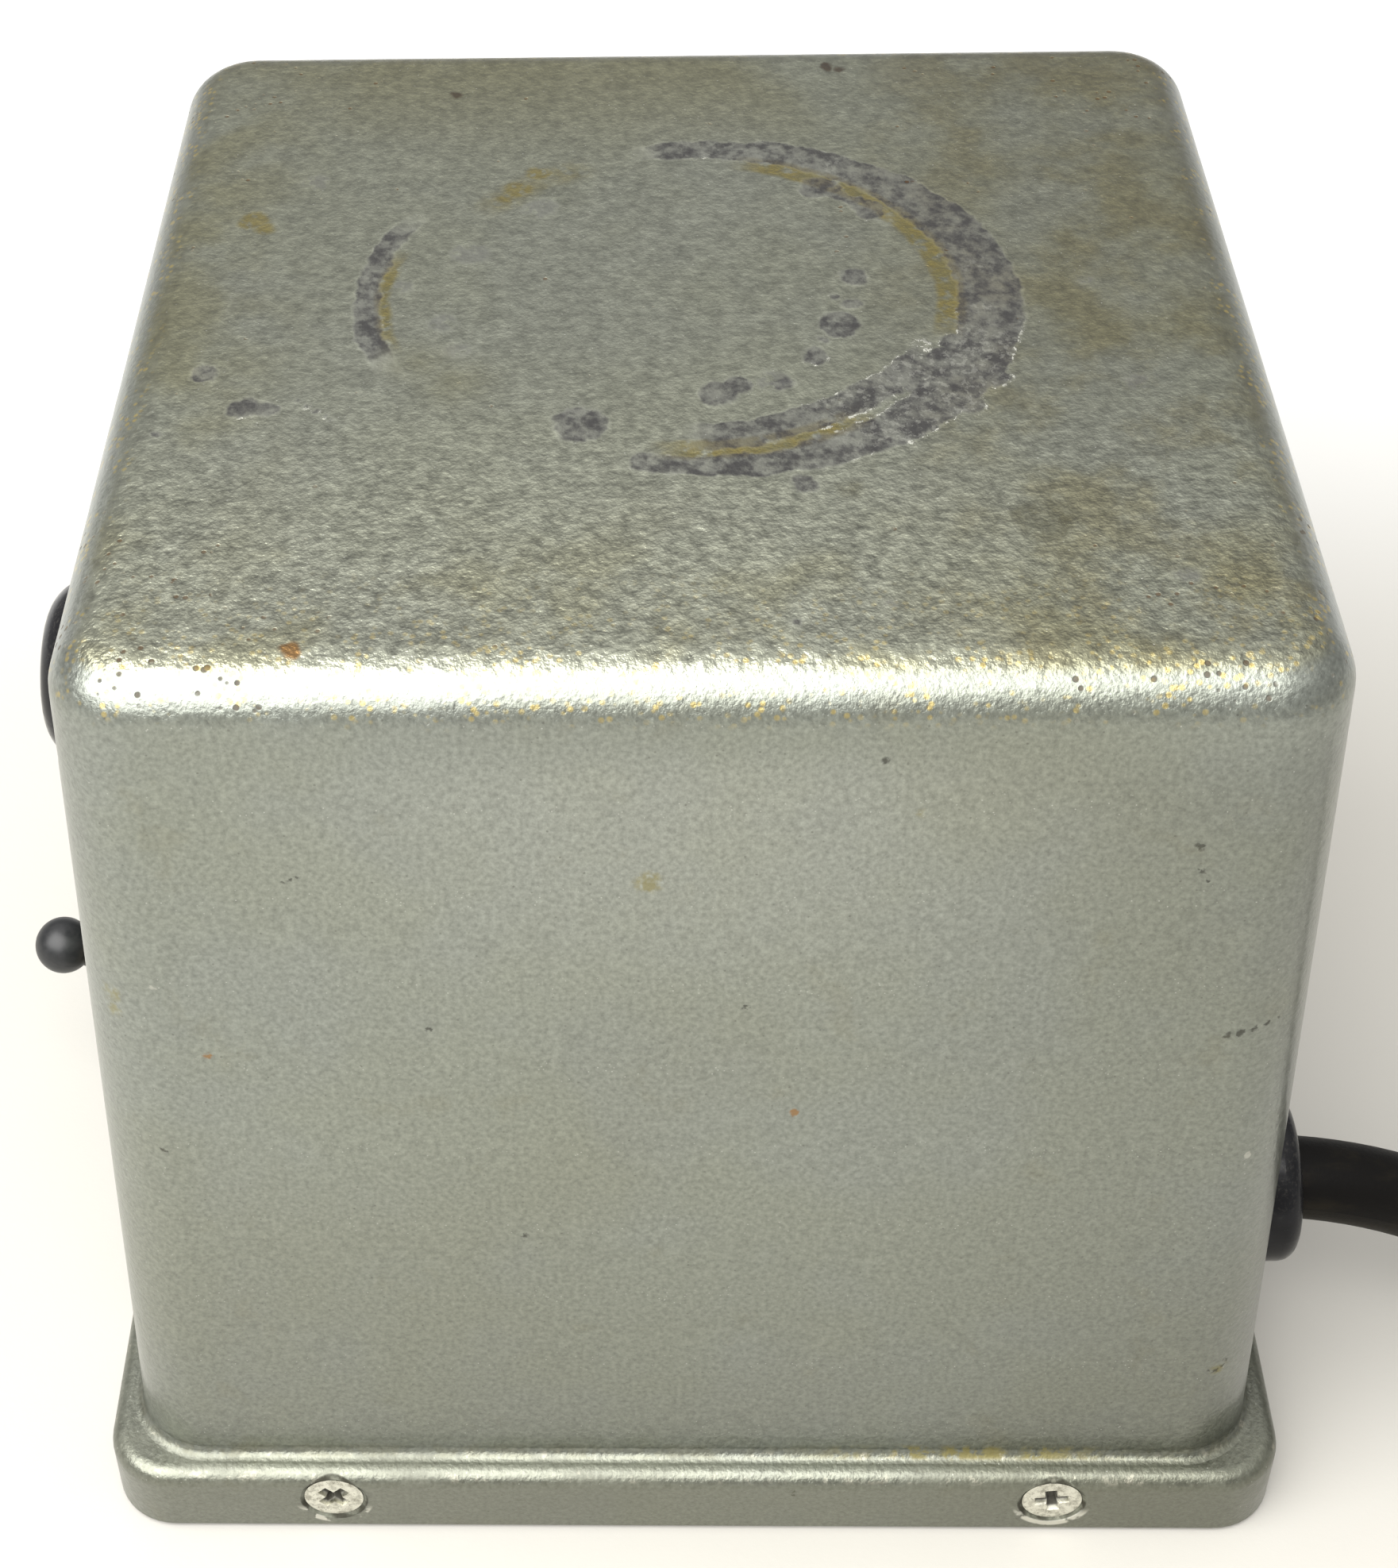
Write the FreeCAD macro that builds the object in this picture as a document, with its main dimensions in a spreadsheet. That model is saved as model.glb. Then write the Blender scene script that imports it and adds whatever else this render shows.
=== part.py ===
import FreeCAD
import Part
import Sketcher
import math
import os
import re

# A bench-top magnetic stirrer: a cast box over a base plate that carries a shaded-pole motor
# standing upright. The motor spins a pair of magnets just under the box's top. A rheostat knob and
# a toggle switch are on the front (-Y) wall and the mains cable leaves through the rear (+Y) wall.
# Z is up, and the origin is the middle of the underside at the level of the feet. All lengths are
# in millimetres and all angles in degrees.

SIZES = {
    # casting
    "foot_gap": 0.6,
    "body_side": 127.0,
    "cast_height": 121.2,
    "draft": 2.07,
    "wall": 3.2,
    "corner_round": 8.4,
    "crown_round": 5.9,
    "lip_side": 133.0,
    "lip_height": 9.2,
    "lip_corner": 7.3,
    "lip_edge_round": 1.9,
    "lip_root_round": 1.2,
    "hole_slack": 0.1,
    "seat_gap": 0.02,
    # screws through the lip
    "lip_screw_offset": 40.6,
    "lip_screw_level": 5.6,
    "lip_screw_head": 6.7,
    "lip_screw_shank": 3.6,
    "lip_screw_length": 12.5,
    "lip_screw_recess": 0.3,
    "lip_sink": 7.6,
    "screw_rim": 0.1,
    "cross_length": 3.8,
    "cross_width": 1.35,
    "cross_depth": 1.5,
    # base plate
    "plate_side": 119.2,
    "plate_inset": 1.0,
    "plate_floor": 4.0,
    "plate_corner": 5.0,
    "earth_y": 22.0,
    "lug_width": 12.0,
    "lug_depth": 9.0,
    "lug_height": 8.4,
    "vent_diameter": 6.0,
    "vent_circle": 44.0,
    # feet
    "foot_offset": 44.0,
    "foot_diameter": 16.0,
    "foot_height": 3.6,
    "foot_screw": 3.0,
    "foot_screw_head": 6.0,
    "foot_step": 1.8,
    # pillars under the motor
    "pillar_x": 31.0,
    "pillar_y": 23.0,
    "pillar_diameter": 8.0,
    "pillar_top": 44.0,
    "pillar_screw": 4.0,
    "pillar_screw_length": 12.0,
    "isolator_height": 7.0,
    "isolator_diameter": 12.0,
    "isolator_waist": 9.0,
    "motor_plate_level": 46.5,
    "motor_plate_thickness": 2.0,
    # motor
    "stack_bottom": 64.0,
    "stack_height": 20.0,
    "stack_width": 48.0,
    "stack_front": 17.0,
    "stack_rear": 39.0,
    "leg_depth": 12.0,
    "window_width": 26.0,
    "window_front": 16.5,
    "rivet_inset": 3.5,
    "rivet_diameter": 3.0,
    "coil_flange": 9.4,
    "coil_depth": 8.4,
    "coil_core_gap": 1.25,
    "motor_bore": 25.6,
    "rotor_diameter": 25.0,
    "ring_height": 2.4,
    "bar_circle": 21.2,
    "bar_diameter": 2.2,
    "shaft_diameter": 5.0,
    "shaft_bottom": 49.6,
    "shaft_top": 104.4,
    "bracket_bar": 3.0,
    "bracket_bar_depth": 16.0,
    "dome_diameter": 30.4,
    "dome_height": 5.5,
    "hub_diameter": 14.0,
    "hub_height": 6.0,
    "bush_length": 8.0,
    "bush_diameter": 10.0,
    "motor_bolt": 4.0,
    "motor_bolt_x": 19.0,
    "running_gap": 0.04,
    # magnet drive
    "drive_bottom": 99.0,
    "drive_hub_height": 6.0,
    "drive_hub_diameter": 17.0,
    "yoke_length": 60.0,
    "yoke_width": 16.0,
    "yoke_thickness": 3.0,
    "magnet_diameter": 14.0,
    "magnet_height": 8.5,
    "magnet_offset": 21.0,
    "yoke_screw_y": 5.6,
    # rheostat and knob, measured outward from the wall's outer face
    "knob_level": 72.5,
    "knob_diameter": 23.2,
    "knob_face_diameter": 20.0,
    "knob_lift": 1.0,
    "knob_height": 12.1,
    "knob_skirt": 2.4,
    "knob_face_round": 5.0,
    "knob_back_round": 2.0,
    "knob_recess": 5.2,
    "knob_recess_radius": 9.2,
    "knob_screw_level": 7.4,
    "knob_screw": 3.0,
    "spindle_diameter": 6.35,
    "bushing_diameter": 9.5,
    "rheostat_diameter": 40.0,
    "track_inner": 29.0,
    "track_depth": 13.0,
    "ceramic_depth": 4.0,
    "wiper_depth": 14.4,
    # toggle switch
    "switch_level": 19.75,
    "toggle_tilt": 25.0,
    "toggle_length": 15.5,
    "toggle_ball": 7.2,
    "pivot_height": 2.3,
    "switch_bushing": 11.9,
    "switch_height": 26.0,
    "switch_width": 14.5,
    "switch_depth": 20.0,
    "switch_throat": 7.2,
    "lever_pin": 1.6,
    "lever_tail": 7.4,
    "nut_lift": 0.82,
    "washer_thickness": 0.8,
    # mains entry
    "cable_x": 35.6,
    "cable_level": 25.0,
    "cable_diameter": 9.5,
    "cable_bend": 47.0,
    "cable_bend_start": 0.8,
    "cable_inside": 20.0,
    "cable_end": 190.0,
    "cable_clearance": 0.8,
    "gland_diameter": 19.7,
    "gland_height": 7.1,
    "gland_round": 2.2,
    "gland_bore_gap": 0.2,
    "gland_mouth_gap": 1.0,
    "gland_reach": 9.0,
    "gland_shank": 13.2,
    "core_diameter": 2.4,
    "core_bend": 4.0,
}

PLATE_TOP = "(foot_gap + plate_inset + plate_floor)"
EARTH_X = "(cable_x + 10)"
ROTOR_BARS = 12
NUT_ACROSS = {"small": "5.5", "motor": "7", "rheostat": "14", "switch": "15", "gland": "19"}

Vector = FreeCAD.Vector
Rotation = FreeCAD.Rotation
ORIGIN = ("0", "0", "0")
UPRIGHT = (Vector(0, 0, 1), "0")
FRONT = (Vector(1, 0, 0), "90 - draft")
REAR = (Vector(1, 0, 0), "draft - 90")
FLAT = Rotation()
PROFILE = Rotation(Vector(1, 0, 0), 90)
FACING_X = Rotation(Vector(0, 1, 0), Vector(0, 0, 1), Vector(1, 0, 0), "ZXY")
ALIASES = re.compile(r"\b(" + "|".join(SIZES) + r")\b")
MAKING_TOLERANCE = 1e-3

doc = FreeCAD.newDocument("magnetic_stirrer")
sheet = doc.addObject("Spreadsheet::Sheet", "Sizes")
sub_parts = []


# ---- the sheet and expressions -------------------------------------------------------------------


def fill_sheet():
    for row, (alias, number) in enumerate(SIZES.items(), start=1):
        sheet.set(f"A{row}", alias.replace("_", " "))
        sheet.set(f"B{row}", str(number))
        sheet.setAlias(f"B{row}", alias)
    doc.recompute()


def bound(expression):
    """The expression with every size's name pointing into the sheet."""
    return ALIASES.sub(r"Sizes.\1", expression)


def value(expression):
    return float(sheet.evalExpression(bound(expression)))


def vector(place):
    return Vector(*[value(part) for part in place])


def bind_place(thing, field, place):
    for axis, expression in zip("xyz", place):
        thing.setExpression(f".{field}.Base.{axis}", bound(expression))


def place(thing, at, turn=UPRIGHT):
    """Puts a piece at a point, turned by an angle about an axis."""
    axis, angle = turn
    thing.Placement = FreeCAD.Placement(vector(at), Rotation(axis, value(angle)))
    bind_place(thing, "Placement", at)
    if turn is not UPRIGHT:
        thing.setExpression(".Placement.Rotation.Angle", bound(angle))


# ---- sketches ------------------------------------------------------------------------------------


def sketch_on(body, at=ORIGIN, facing=FLAT):
    sketch = body.newObject("Sketcher::SketchObject", body.Name + "_sketch")
    plane = next(f for f in body.Origin.OriginFeatures if f.Role == "XY_Plane")
    sketch.AttachmentSupport = [(plane, "")]
    sketch.MapMode = "FlatFace"
    sketch.AttachmentOffset = FreeCAD.Placement(vector(at), facing)
    bind_place(sketch, "AttachmentOffset", at)
    return sketch


def constrain(sketch, kind, where, expression):
    index = sketch.addConstraint(Sketcher.Constraint(kind, *where, value(expression)))
    sketch.setExpression(f"Constraints[{index}]", bound(expression))


def outline(sketch, corners):
    """A closed outline with straight sides through corners, each a pair of expressions."""
    first = sketch.GeometryCount
    count = len(corners)
    points = [vector((x, y, "0")) for x, y in corners]
    for i in range(count):
        sketch.addGeometry(Part.LineSegment(points[i], points[(i + 1) % count]), False)
    for i in range(count):
        joint = Sketcher.Constraint("Coincident", first + i, 2, first + (i + 1) % count, 1)
        sketch.addConstraint(joint)
    for i, (x, y) in enumerate(corners):
        constrain(sketch, "DistanceX", (-1, 1, first + i, 1), x)
        constrain(sketch, "DistanceY", (-1, 1, first + i, 1), y)


def rectangle(sketch, width, depth, x="0", y="0"):
    left, right = f"{x} - ({width}) / 2", f"{x} + ({width}) / 2"
    near, far = f"{y} - ({depth}) / 2", f"{y} + ({depth}) / 2"
    outline(sketch, [(left, near), (right, near), (right, far), (left, far)])


def hexagon(sketch, across):
    angles = [math.radians(60 * k) for k in range(6)]
    reach = f"{across} / sqrt(3)"
    outline(sketch, [(f"{reach} * {math.cos(a):.6f}", f"{reach} * {math.sin(a):.6f}") for a in angles])


def cross(sketch, length, width):
    """A plus-shaped recess: one arm's three corners, turned a quarter at a time."""
    far, near = f"({length}) / 2", f"({width}) / 2"
    corners = []
    for c, s in ((1, 0), (0, 1), (-1, 0), (0, -1)):
        for x, y in ((far, near), (near, near), (near, far)):
            corners.append((f"{c} * {x} - {s} * {y}", f"{s} * {x} + {c} * {y}"))
    outline(sketch, corners)


def circle(sketch, diameter, x="0", y="0"):
    ring = Part.Circle(vector((x, y, "0")), Vector(0, 0, 1), value(diameter) / 2)
    index = sketch.addGeometry(ring, False)
    constrain(sketch, "Diameter", (index,), diameter)
    constrain(sketch, "DistanceX", (-1, 1, index, 3), x)
    constrain(sketch, "DistanceY", (-1, 1, index, 3), y)


# ---- features ------------------------------------------------------------------------------------


def new_body(label, kept=True):
    """A body. One that is not kept is the pattern piece that a group of identical pieces copies."""
    body = doc.addObject("PartDesign::Body", label)
    if kept:
        sub_parts.append(body)
    return body


def pad(body, sketch, length, taper=None):
    feature = body.newObject("PartDesign::Pad", body.Name + "_pad")
    feature.Profile = sketch
    feature.setExpression("Length", bound(length))
    if taper:
        feature.setExpression("TaperAngle", bound(f"0 - {taper}"))
    doc.recompute()
    return feature


def pocket(body, sketch, length=None, forward=False, both=False, taper=None):
    """Cuts into the body against the sketch's normal, along it if forward, or both ways."""
    before = body.Tip.Shape.Volume
    feature = body.newObject("PartDesign::Pocket", body.Name + "_pocket")
    feature.Profile = sketch
    feature.Reversed = forward
    feature.Midplane = both
    if length:
        feature.setExpression("Length", bound(length))
    else:
        feature.Type = "ThroughAll"
    if taper:
        feature.setExpression("TaperAngle", bound(f"0 - {taper}"))
    doc.recompute()
    if feature.Shape.Volume > before - MAKING_TOLERANCE:
        raise RuntimeError(f"{feature.Label} cut nothing ({feature.State})")
    return feature


def revolve(body, corners, at=ORIGIN):
    """A ring or solid of revolution about the body's Z axis, from a section in radius and height."""
    section = sketch_on(body, at, PROFILE)
    outline(section, corners)
    feature = body.newObject("PartDesign::Revolution", body.Name + "_turned")
    feature.Profile = section
    feature.ReferenceAxis = (section, ["V_Axis"])
    feature.Angle = 360
    doc.recompute()
    return feature


def round_edges(body, radius, chosen, kind="Fillet"):
    """Fillets or chamfers the edges of the body that chosen picks."""
    base = body.Tip
    names = [f"Edge{i}" for i, edge in enumerate(base.Shape.Edges, start=1) if chosen(edge)]
    if not names:
        raise RuntimeError(f"{body.Label} has no such edge")
    feature = body.newObject(f"PartDesign::{kind}", body.Name + "_" + kind.lower())
    feature.Base = (base, names)
    feature.setExpression("Radius" if kind == "Fillet" else "Size", bound(radius))
    doc.recompute()
    return feature


def pattern_round(body, features, count):
    """Repeats features evenly round the body's Z axis."""
    feature = body.newObject("PartDesign::PolarPattern", body.Name + "_ring")
    feature.Originals = features
    axis = next(f for f in body.Origin.OriginFeatures if f.Role == "Z_Axis")
    feature.Axis = (axis, [""])
    feature.Angle = 360
    feature.Occurrences = count
    body.Tip = feature
    doc.recompute()


def middle(edge):
    return edge.BoundBox.Center


def is_upright(edge):
    """An edge that climbs, such as a box's corner, drafted or not."""
    return edge.BoundBox.ZLength > max(edge.BoundBox.XLength, edge.BoundBox.YLength)


def is_level(edge, height):
    box = edge.BoundBox
    return abs(box.ZMin - height) < MAKING_TOLERANCE and abs(box.ZMax - height) < MAKING_TOLERANCE


def is_round(edge, radius, height):
    """A full circle of that radius about the Z axis at that height."""
    return is_level(edge, height) and abs(edge.BoundBox.XLength / 2 - radius) < MAKING_TOLERANCE


def turned(label, corners, kept=True):
    body = new_body(label, kept)
    revolve(body, corners)
    return body


def tube(label, outer, inner, bottom, top, kept=True):
    """A plain sleeve, washer or collar between two heights; inner may be None for a solid rod."""
    inside = f"({inner}) / 2" if inner else "0"
    outside = f"({outer}) / 2"
    return turned(label, [(inside, bottom), (outside, bottom), (outside, top), (inside, top)], kept)


def hex_nut(label, across, bore, thickness, kept=True):
    body = new_body(label, kept)
    plan = sketch_on(body)
    hexagon(plan, across)
    pad(body, plan, thickness)
    eye = sketch_on(body)
    circle(eye, bore)
    pocket(body, eye, forward=True)
    return body


def pan_screw(label, head, head_height, shank, length, slot="1", kept=False):
    """A slotted screw: the head's seat is at height 0 and the shank points down."""
    body = turned(label, [
        ("0", f"0 - ({length})"),
        (f"({shank}) / 2", f"0 - ({length})"),
        (f"({shank}) / 2", "0"),
        (f"({head}) / 2", "0"),
        (f"({head}) / 2", head_height),
        ("0", head_height),
    ], kept)
    round_edges(body, f"({head_height}) / 3", lambda e: is_round(e, value(head) / 2, value(head_height)))
    groove = sketch_on(body, ("0", "0", head_height))
    rectangle(groove, f"({head}) * 1.2", slot)
    pocket(body, groove, f"({head_height}) / 2")
    return body


def sunk_screw(label, head, shank, length, kept=False):
    """A countersunk cross-recess screw: the head's face is at height 0 and the shank points down."""
    cone = f"(({head}) - ({shank})) / 2"
    body = turned(label, [
        ("0", f"0 - ({length})"),
        (f"({shank}) / 2", f"0 - ({length})"),
        (f"({shank}) / 2", f"0 - {cone} - screw_rim"),
        (f"({head}) / 2", "0 - screw_rim"),
        (f"({head}) / 2", "0"),
        ("0", "0"),
    ], kept)
    recess = sketch_on(body)
    cross(recess, f"cross_length * ({head}) / lip_screw_head", f"cross_width * ({head}) / lip_screw_head")
    pocket(body, recess, f"cross_depth * ({head}) / lip_screw_head", taper="14")
    return body


def group(label, piece, placements):
    """Identical separate pieces kept as one node. Each placement is a point and a rotation."""
    links = []
    for number, (at, rotation) in enumerate(placements, start=1):
        link = doc.addObject("App::Link", f"{label}_{number}")
        link.LinkedObject = piece
        link.Placement = FreeCAD.Placement(vector(at), rotation)
        bind_place(link, "Placement", at)
        links.append(link)
    compound = doc.addObject("Part::Compound", label)
    compound.Links = links
    doc.recompute()
    sub_parts.append(compound)
    return compound


def four_corners(x, y, level):
    """The four points (+-x, +-y) at one level, for a group of upright pieces."""
    return [((f"{a} * {x}", f"{b} * {y}", level), FLAT) for a in (-1, 1) for b in (-1, 1)]


def wall_point(level, x="0", side=-1):
    """The point of the drafted front (side -1) or rear (side 1) wall's outer face at that height."""
    reach = f"body_side / 2 - (({level}) - foot_gap) * tan(draft)"
    return (x, f"{side} * ({reach})", level)


# ---- box, base plate and feet --------------------------------------------------------------------


def wall_hole(body, at, angle, diameter):
    """A hole square to the drafted wall."""
    eye = sketch_on(body, at, Rotation(Vector(1, 0, 0), value(angle)))
    circle(eye, diameter)
    pocket(body, eye, "wall * 4", both=True)


def make_housing():
    body = new_body("housing")
    rim = ("0", "0", "foot_gap")
    plan = sketch_on(body, rim)
    rectangle(plan, "body_side", "body_side")
    pad(body, plan, "cast_height", taper="draft")
    round_edges(body, "corner_round", is_upright)
    crown = value("foot_gap + cast_height")
    round_edges(body, "crown_round", lambda e: is_level(e, crown))

    lip = sketch_on(body, rim)
    rectangle(lip, "lip_side", "lip_side")
    pad(body, lip, "lip_height")
    lip_top = value("foot_gap + lip_height")
    between = value("(body_side + lip_side) / 4")
    on_lip = lambda e: max(e.BoundBox.XMax, e.BoundBox.YMax, -e.BoundBox.XMin, -e.BoundBox.YMin) > between
    round_edges(body, "lip_corner", lambda e: is_upright(e) and on_lip(e) and middle(e).z < lip_top)
    round_edges(body, "lip_edge_round", lambda e: is_level(e, lip_top) and on_lip(e))
    round_edges(body, "lip_root_round", lambda e: is_level(e, lip_top) and not on_lip(e))

    cavity = sketch_on(body, rim)
    rectangle(cavity, "body_side - 2 * wall", "body_side - 2 * wall")
    pocket(body, cavity, "cast_height - wall", forward=True, taper="draft")
    ceiling = value("foot_gap + cast_height - wall")
    half_way = value("cast_height / 2")
    inner_reach = value("body_side / 2 - wall")
    is_inner_corner = lambda e: (
        is_upright(e)
        and e.BoundBox.ZLength > half_way
        and abs(e.BoundBox.ZMax - ceiling) < MAKING_TOLERANCE
    )
    round_edges(body, "corner_round - wall", is_inner_corner)
    is_ceiling_edge = lambda e: is_level(e, ceiling) and abs(middle(e).x) < inner_reach
    round_edges(body, "corner_round - wall - 0.5", is_ceiling_edge)

    wall_hole(body, wall_point("knob_level"), "90 - draft", "bushing_diameter + 2 * hole_slack")
    wall_hole(body, wall_point("switch_level"), "90 - draft", "switch_bushing + 2 * hole_slack")
    wall_hole(body, wall_point("cable_level", "cable_x", 1), "draft - 90", "gland_shank + 2 * hole_slack")
    screw_holes(body)


def screw_holes(body):
    """Two countersunk holes in each side of the lip."""
    points = sketch_on(body, ("lip_side / 2", "0", "lip_screw_level"), FACING_X)
    for side in ("-1", "1"):
        circle(points, "lip_screw_shank + 4 * hole_slack", f"{side} * lip_screw_offset")
    hole = body.newObject("PartDesign::Hole", "lip_screw_holes")
    hole.Profile = points
    doc.recompute()
    hole.ThreadType = "None"
    hole.DepthType = "Dimension"
    hole.DrillPoint = "Flat"
    hole.HoleCutType = "Countersink"
    hole.HoleCutCustomValues = True
    hole.HoleCutCountersinkAngle = 90
    hole.setExpression("Diameter", bound("lip_screw_shank + 4 * hole_slack"))
    hole.setExpression("Depth", bound("(lip_side - body_side) / 2 + wall + 1"))
    hole.setExpression("HoleCutDiameter", bound("lip_sink"))
    doc.recompute()
    pattern_round(body, [hole], 4)


def make_base_plate():
    body = new_body("base_plate")
    underside = "foot_gap + plate_inset"
    plan = sketch_on(body, ("0", "0", underside))
    rectangle(plan, "plate_side", "plate_side")
    pad(body, plan, "plate_floor")
    round_edges(body, "plate_corner", is_upright)
    for side in ("-1", "1"):
        lug = sketch_on(body, ("0", "0", underside))
        middle_x = "(plate_side - lug_depth) / 2"
        rectangle(lug, "lug_depth", "lug_width", middle_x, f"{side} * lip_screw_offset")
        feature = pad(body, lug, "lug_height")
        pattern_round(body, [feature], 4)
    taps = sketch_on(body, ("plate_side / 2", "0", "lip_screw_level"), FACING_X)
    for side in ("-1", "1"):
        circle(taps, "lip_screw_shank + hole_slack", f"{side} * lip_screw_offset")
    feature = pocket(body, taps, "lug_depth - 1")
    pattern_round(body, [feature], 4)

    wells = sketch_on(body, ("0", "0", underside))
    clearances = sketch_on(body, ("0", "0", underside))
    for x in ("-1", "1"):
        for y in ("-1", "1"):
            circle(wells, "foot_diameter + 1", f"{x} * foot_offset", f"{y} * foot_offset")
            circle(clearances, "foot_screw + 4 * hole_slack",
                   f"{x} * foot_offset", f"{y} * foot_offset")
    pocket(body, wells, "foot_height - (foot_gap + plate_inset)", forward=True)
    pocket(body, clearances, forward=True)

    points = sketch_on(body, ("0", "0", underside), Rotation(Vector(1, 0, 0), 180))
    for x in ("-1", "1"):
        for y in ("-1", "1"):
            circle(points, "pillar_screw + 4 * hole_slack", f"{x} * pillar_x", f"{y} * pillar_y")
    hole = body.newObject("PartDesign::Hole", "pillar_holes")
    hole.Profile = points
    doc.recompute()
    hole.ThreadType = "None"
    hole.DepthType = "ThroughAll"
    hole.HoleCutType = "Countersink"
    hole.HoleCutCustomValues = True
    hole.HoleCutCountersinkAngle = 90
    hole.setExpression("Diameter", bound("pillar_screw + 4 * hole_slack"))
    hole.setExpression("HoleCutDiameter", bound("pillar_screw * 1.9 + 0.5"))
    doc.recompute()

    vent = sketch_on(body, ("0", "0", underside))
    circle(vent, "vent_diameter", "0", "vent_circle / 2")
    feature = pocket(body, vent, forward=True)
    pattern_round(body, [feature], 8)
    earth = sketch_on(body, ("0", "0", underside))
    circle(earth, "foot_screw + 2 * hole_slack", EARTH_X, "earth_y")
    pocket(body, earth, forward=True)


def make_lip_screws():
    screw = sunk_screw("lip_screw", "lip_screw_head", "lip_screw_shank", "lip_screw_length")
    placements = []
    for side in range(4):
        for along, spin in ((-1, 45), (1, 8)):
            angle = math.radians(90 * side)
            out, across = "(lip_side / 2 - lip_screw_recess)", f"{along} * lip_screw_offset"
            c, s = round(math.cos(angle)), round(math.sin(angle))
            at = (f"{c} * {out} - {s} * {across}", f"{s} * {out} + {c} * {across}", "lip_screw_level")
            turn = Rotation(Vector(0, 0, 1), 90 * side) * Rotation(Vector(0, 1, 0), 90)
            placements.append((at, turn * Rotation(Vector(0, 0, 1), spin + 23 * side)))
    group("lip_screws", screw, placements)


def make_feet():
    foot = turned("rubber_foot", [
        ("foot_screw / 2 + hole_slack", "foot_step"),
        ("foot_screw_head / 2 + 0.5", "foot_step"),
        ("foot_screw_head / 2 + 0.5", "0"),
        ("foot_diameter / 2", "0"),
        ("foot_diameter / 2", "foot_height"),
        ("foot_screw / 2 + hole_slack", "foot_height"),
    ], kept=False)
    round_edges(foot, "0.5", lambda e: is_round(e, value("foot_diameter / 2"), 0))
    screw = pan_screw("foot_screw", "foot_screw_head", "1.3", "foot_screw", "7.6", slot="0.8")
    nut = hex_nut("foot_nut", NUT_ACROSS["small"], "foot_screw + hole_slack", "2.2", kept=False)
    upside_down = Rotation(Vector(1, 0, 0), 180)
    corners = four_corners("foot_offset", "foot_offset", "0")
    group("rubber_feet", foot, corners)
    group("foot_screws", screw, [((x, y, "foot_step"), upside_down) for (x, y, _), _ in corners])
    group("foot_nuts", nut, [((x, y, PLATE_TOP), FLAT) for (x, y, _), _ in corners])


# ---- pillars and motor plate ---------------------------------------------------------------------


def make_motor_mount():
    pillar = tube("pillar", "pillar_diameter", "pillar_screw + hole_slack",
                  "0", f"pillar_top - ({PLATE_TOP})", kept=False)
    group("motor_pillars", pillar, four_corners("pillar_x", "pillar_y", PLATE_TOP))

    screw = sunk_screw("pillar_screw_piece", "pillar_screw * 1.9", "pillar_screw", "pillar_screw_length")
    upside_down = Rotation(Vector(1, 0, 0), 180)
    corners = four_corners("pillar_x", "pillar_y", "foot_gap + plate_inset + 0.1")
    group("pillar_screws", screw, [(at, upside_down) for at, _ in corners])

    waist = "isolator_waist / 2"
    isolator = turned("isolator", [
        ("pillar_screw / 2 + 0.1", "0"),
        ("isolator_diameter / 2", "0"),
        ("isolator_diameter / 2", "motor_plate_level - pillar_top"),
        (waist, "motor_plate_level - pillar_top"),
        (waist, "motor_plate_level - pillar_top + motor_plate_thickness"),
        ("isolator_diameter / 2", "motor_plate_level - pillar_top + motor_plate_thickness"),
        ("isolator_diameter / 2", "isolator_height"),
        ("pillar_screw / 2 + 0.1", "isolator_height"),
    ], kept=False)
    group("rubber_isolators", isolator, four_corners("pillar_x", "pillar_y", "pillar_top"))
    washer_level = "pillar_top + isolator_height"
    head_level = f"{washer_level} + washer_thickness"
    washer = tube("isolator_washer", "10", "pillar_screw + 0.3", "0", "washer_thickness", kept=False)
    group("isolator_washers", washer, four_corners("pillar_x", "pillar_y", washer_level))
    top_screw = pan_screw("isolator_screw", "pillar_screw * 1.9", "2.4", "pillar_screw",
                          "isolator_height + washer_thickness + 8")
    group("isolator_screws", top_screw, four_corners("pillar_x", "pillar_y", head_level))

    plate = new_body("motor_plate")
    plan = sketch_on(plate, ("0", "0", "motor_plate_level"))
    rectangle(plan, "2 * pillar_x + 14", "2 * pillar_y + 14")
    pad(plate, plan, "motor_plate_thickness")
    round_edges(plate, "plate_corner", is_upright)
    holes = sketch_on(plate, ("0", "0", "motor_plate_level"))
    circle(holes, "hub_diameter + 4")
    for x in ("-1", "1"):
        circle(holes, "motor_bolt + 0.4", f"{x} * motor_bolt_x")
        for y in ("-1", "1"):
            circle(holes, "isolator_waist + 0.2", f"{x} * pillar_x", f"{y} * pillar_y")
    pocket(plate, holes, forward=True)


# ---- motor ---------------------------------------------------------------------------------------


# where the copper shading rings pass through the stack, and the rows of rivets that hold it
SHADING_HOLES = [(-14.6, 9.6), (-9.5, 14.2)]
RIVET_X = "(stack_width / 2 - rivet_inset)"
RIVET_ROWS = ("rivet_inset - stack_front", "stack_rear - rivet_inset - 0.5")


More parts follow.
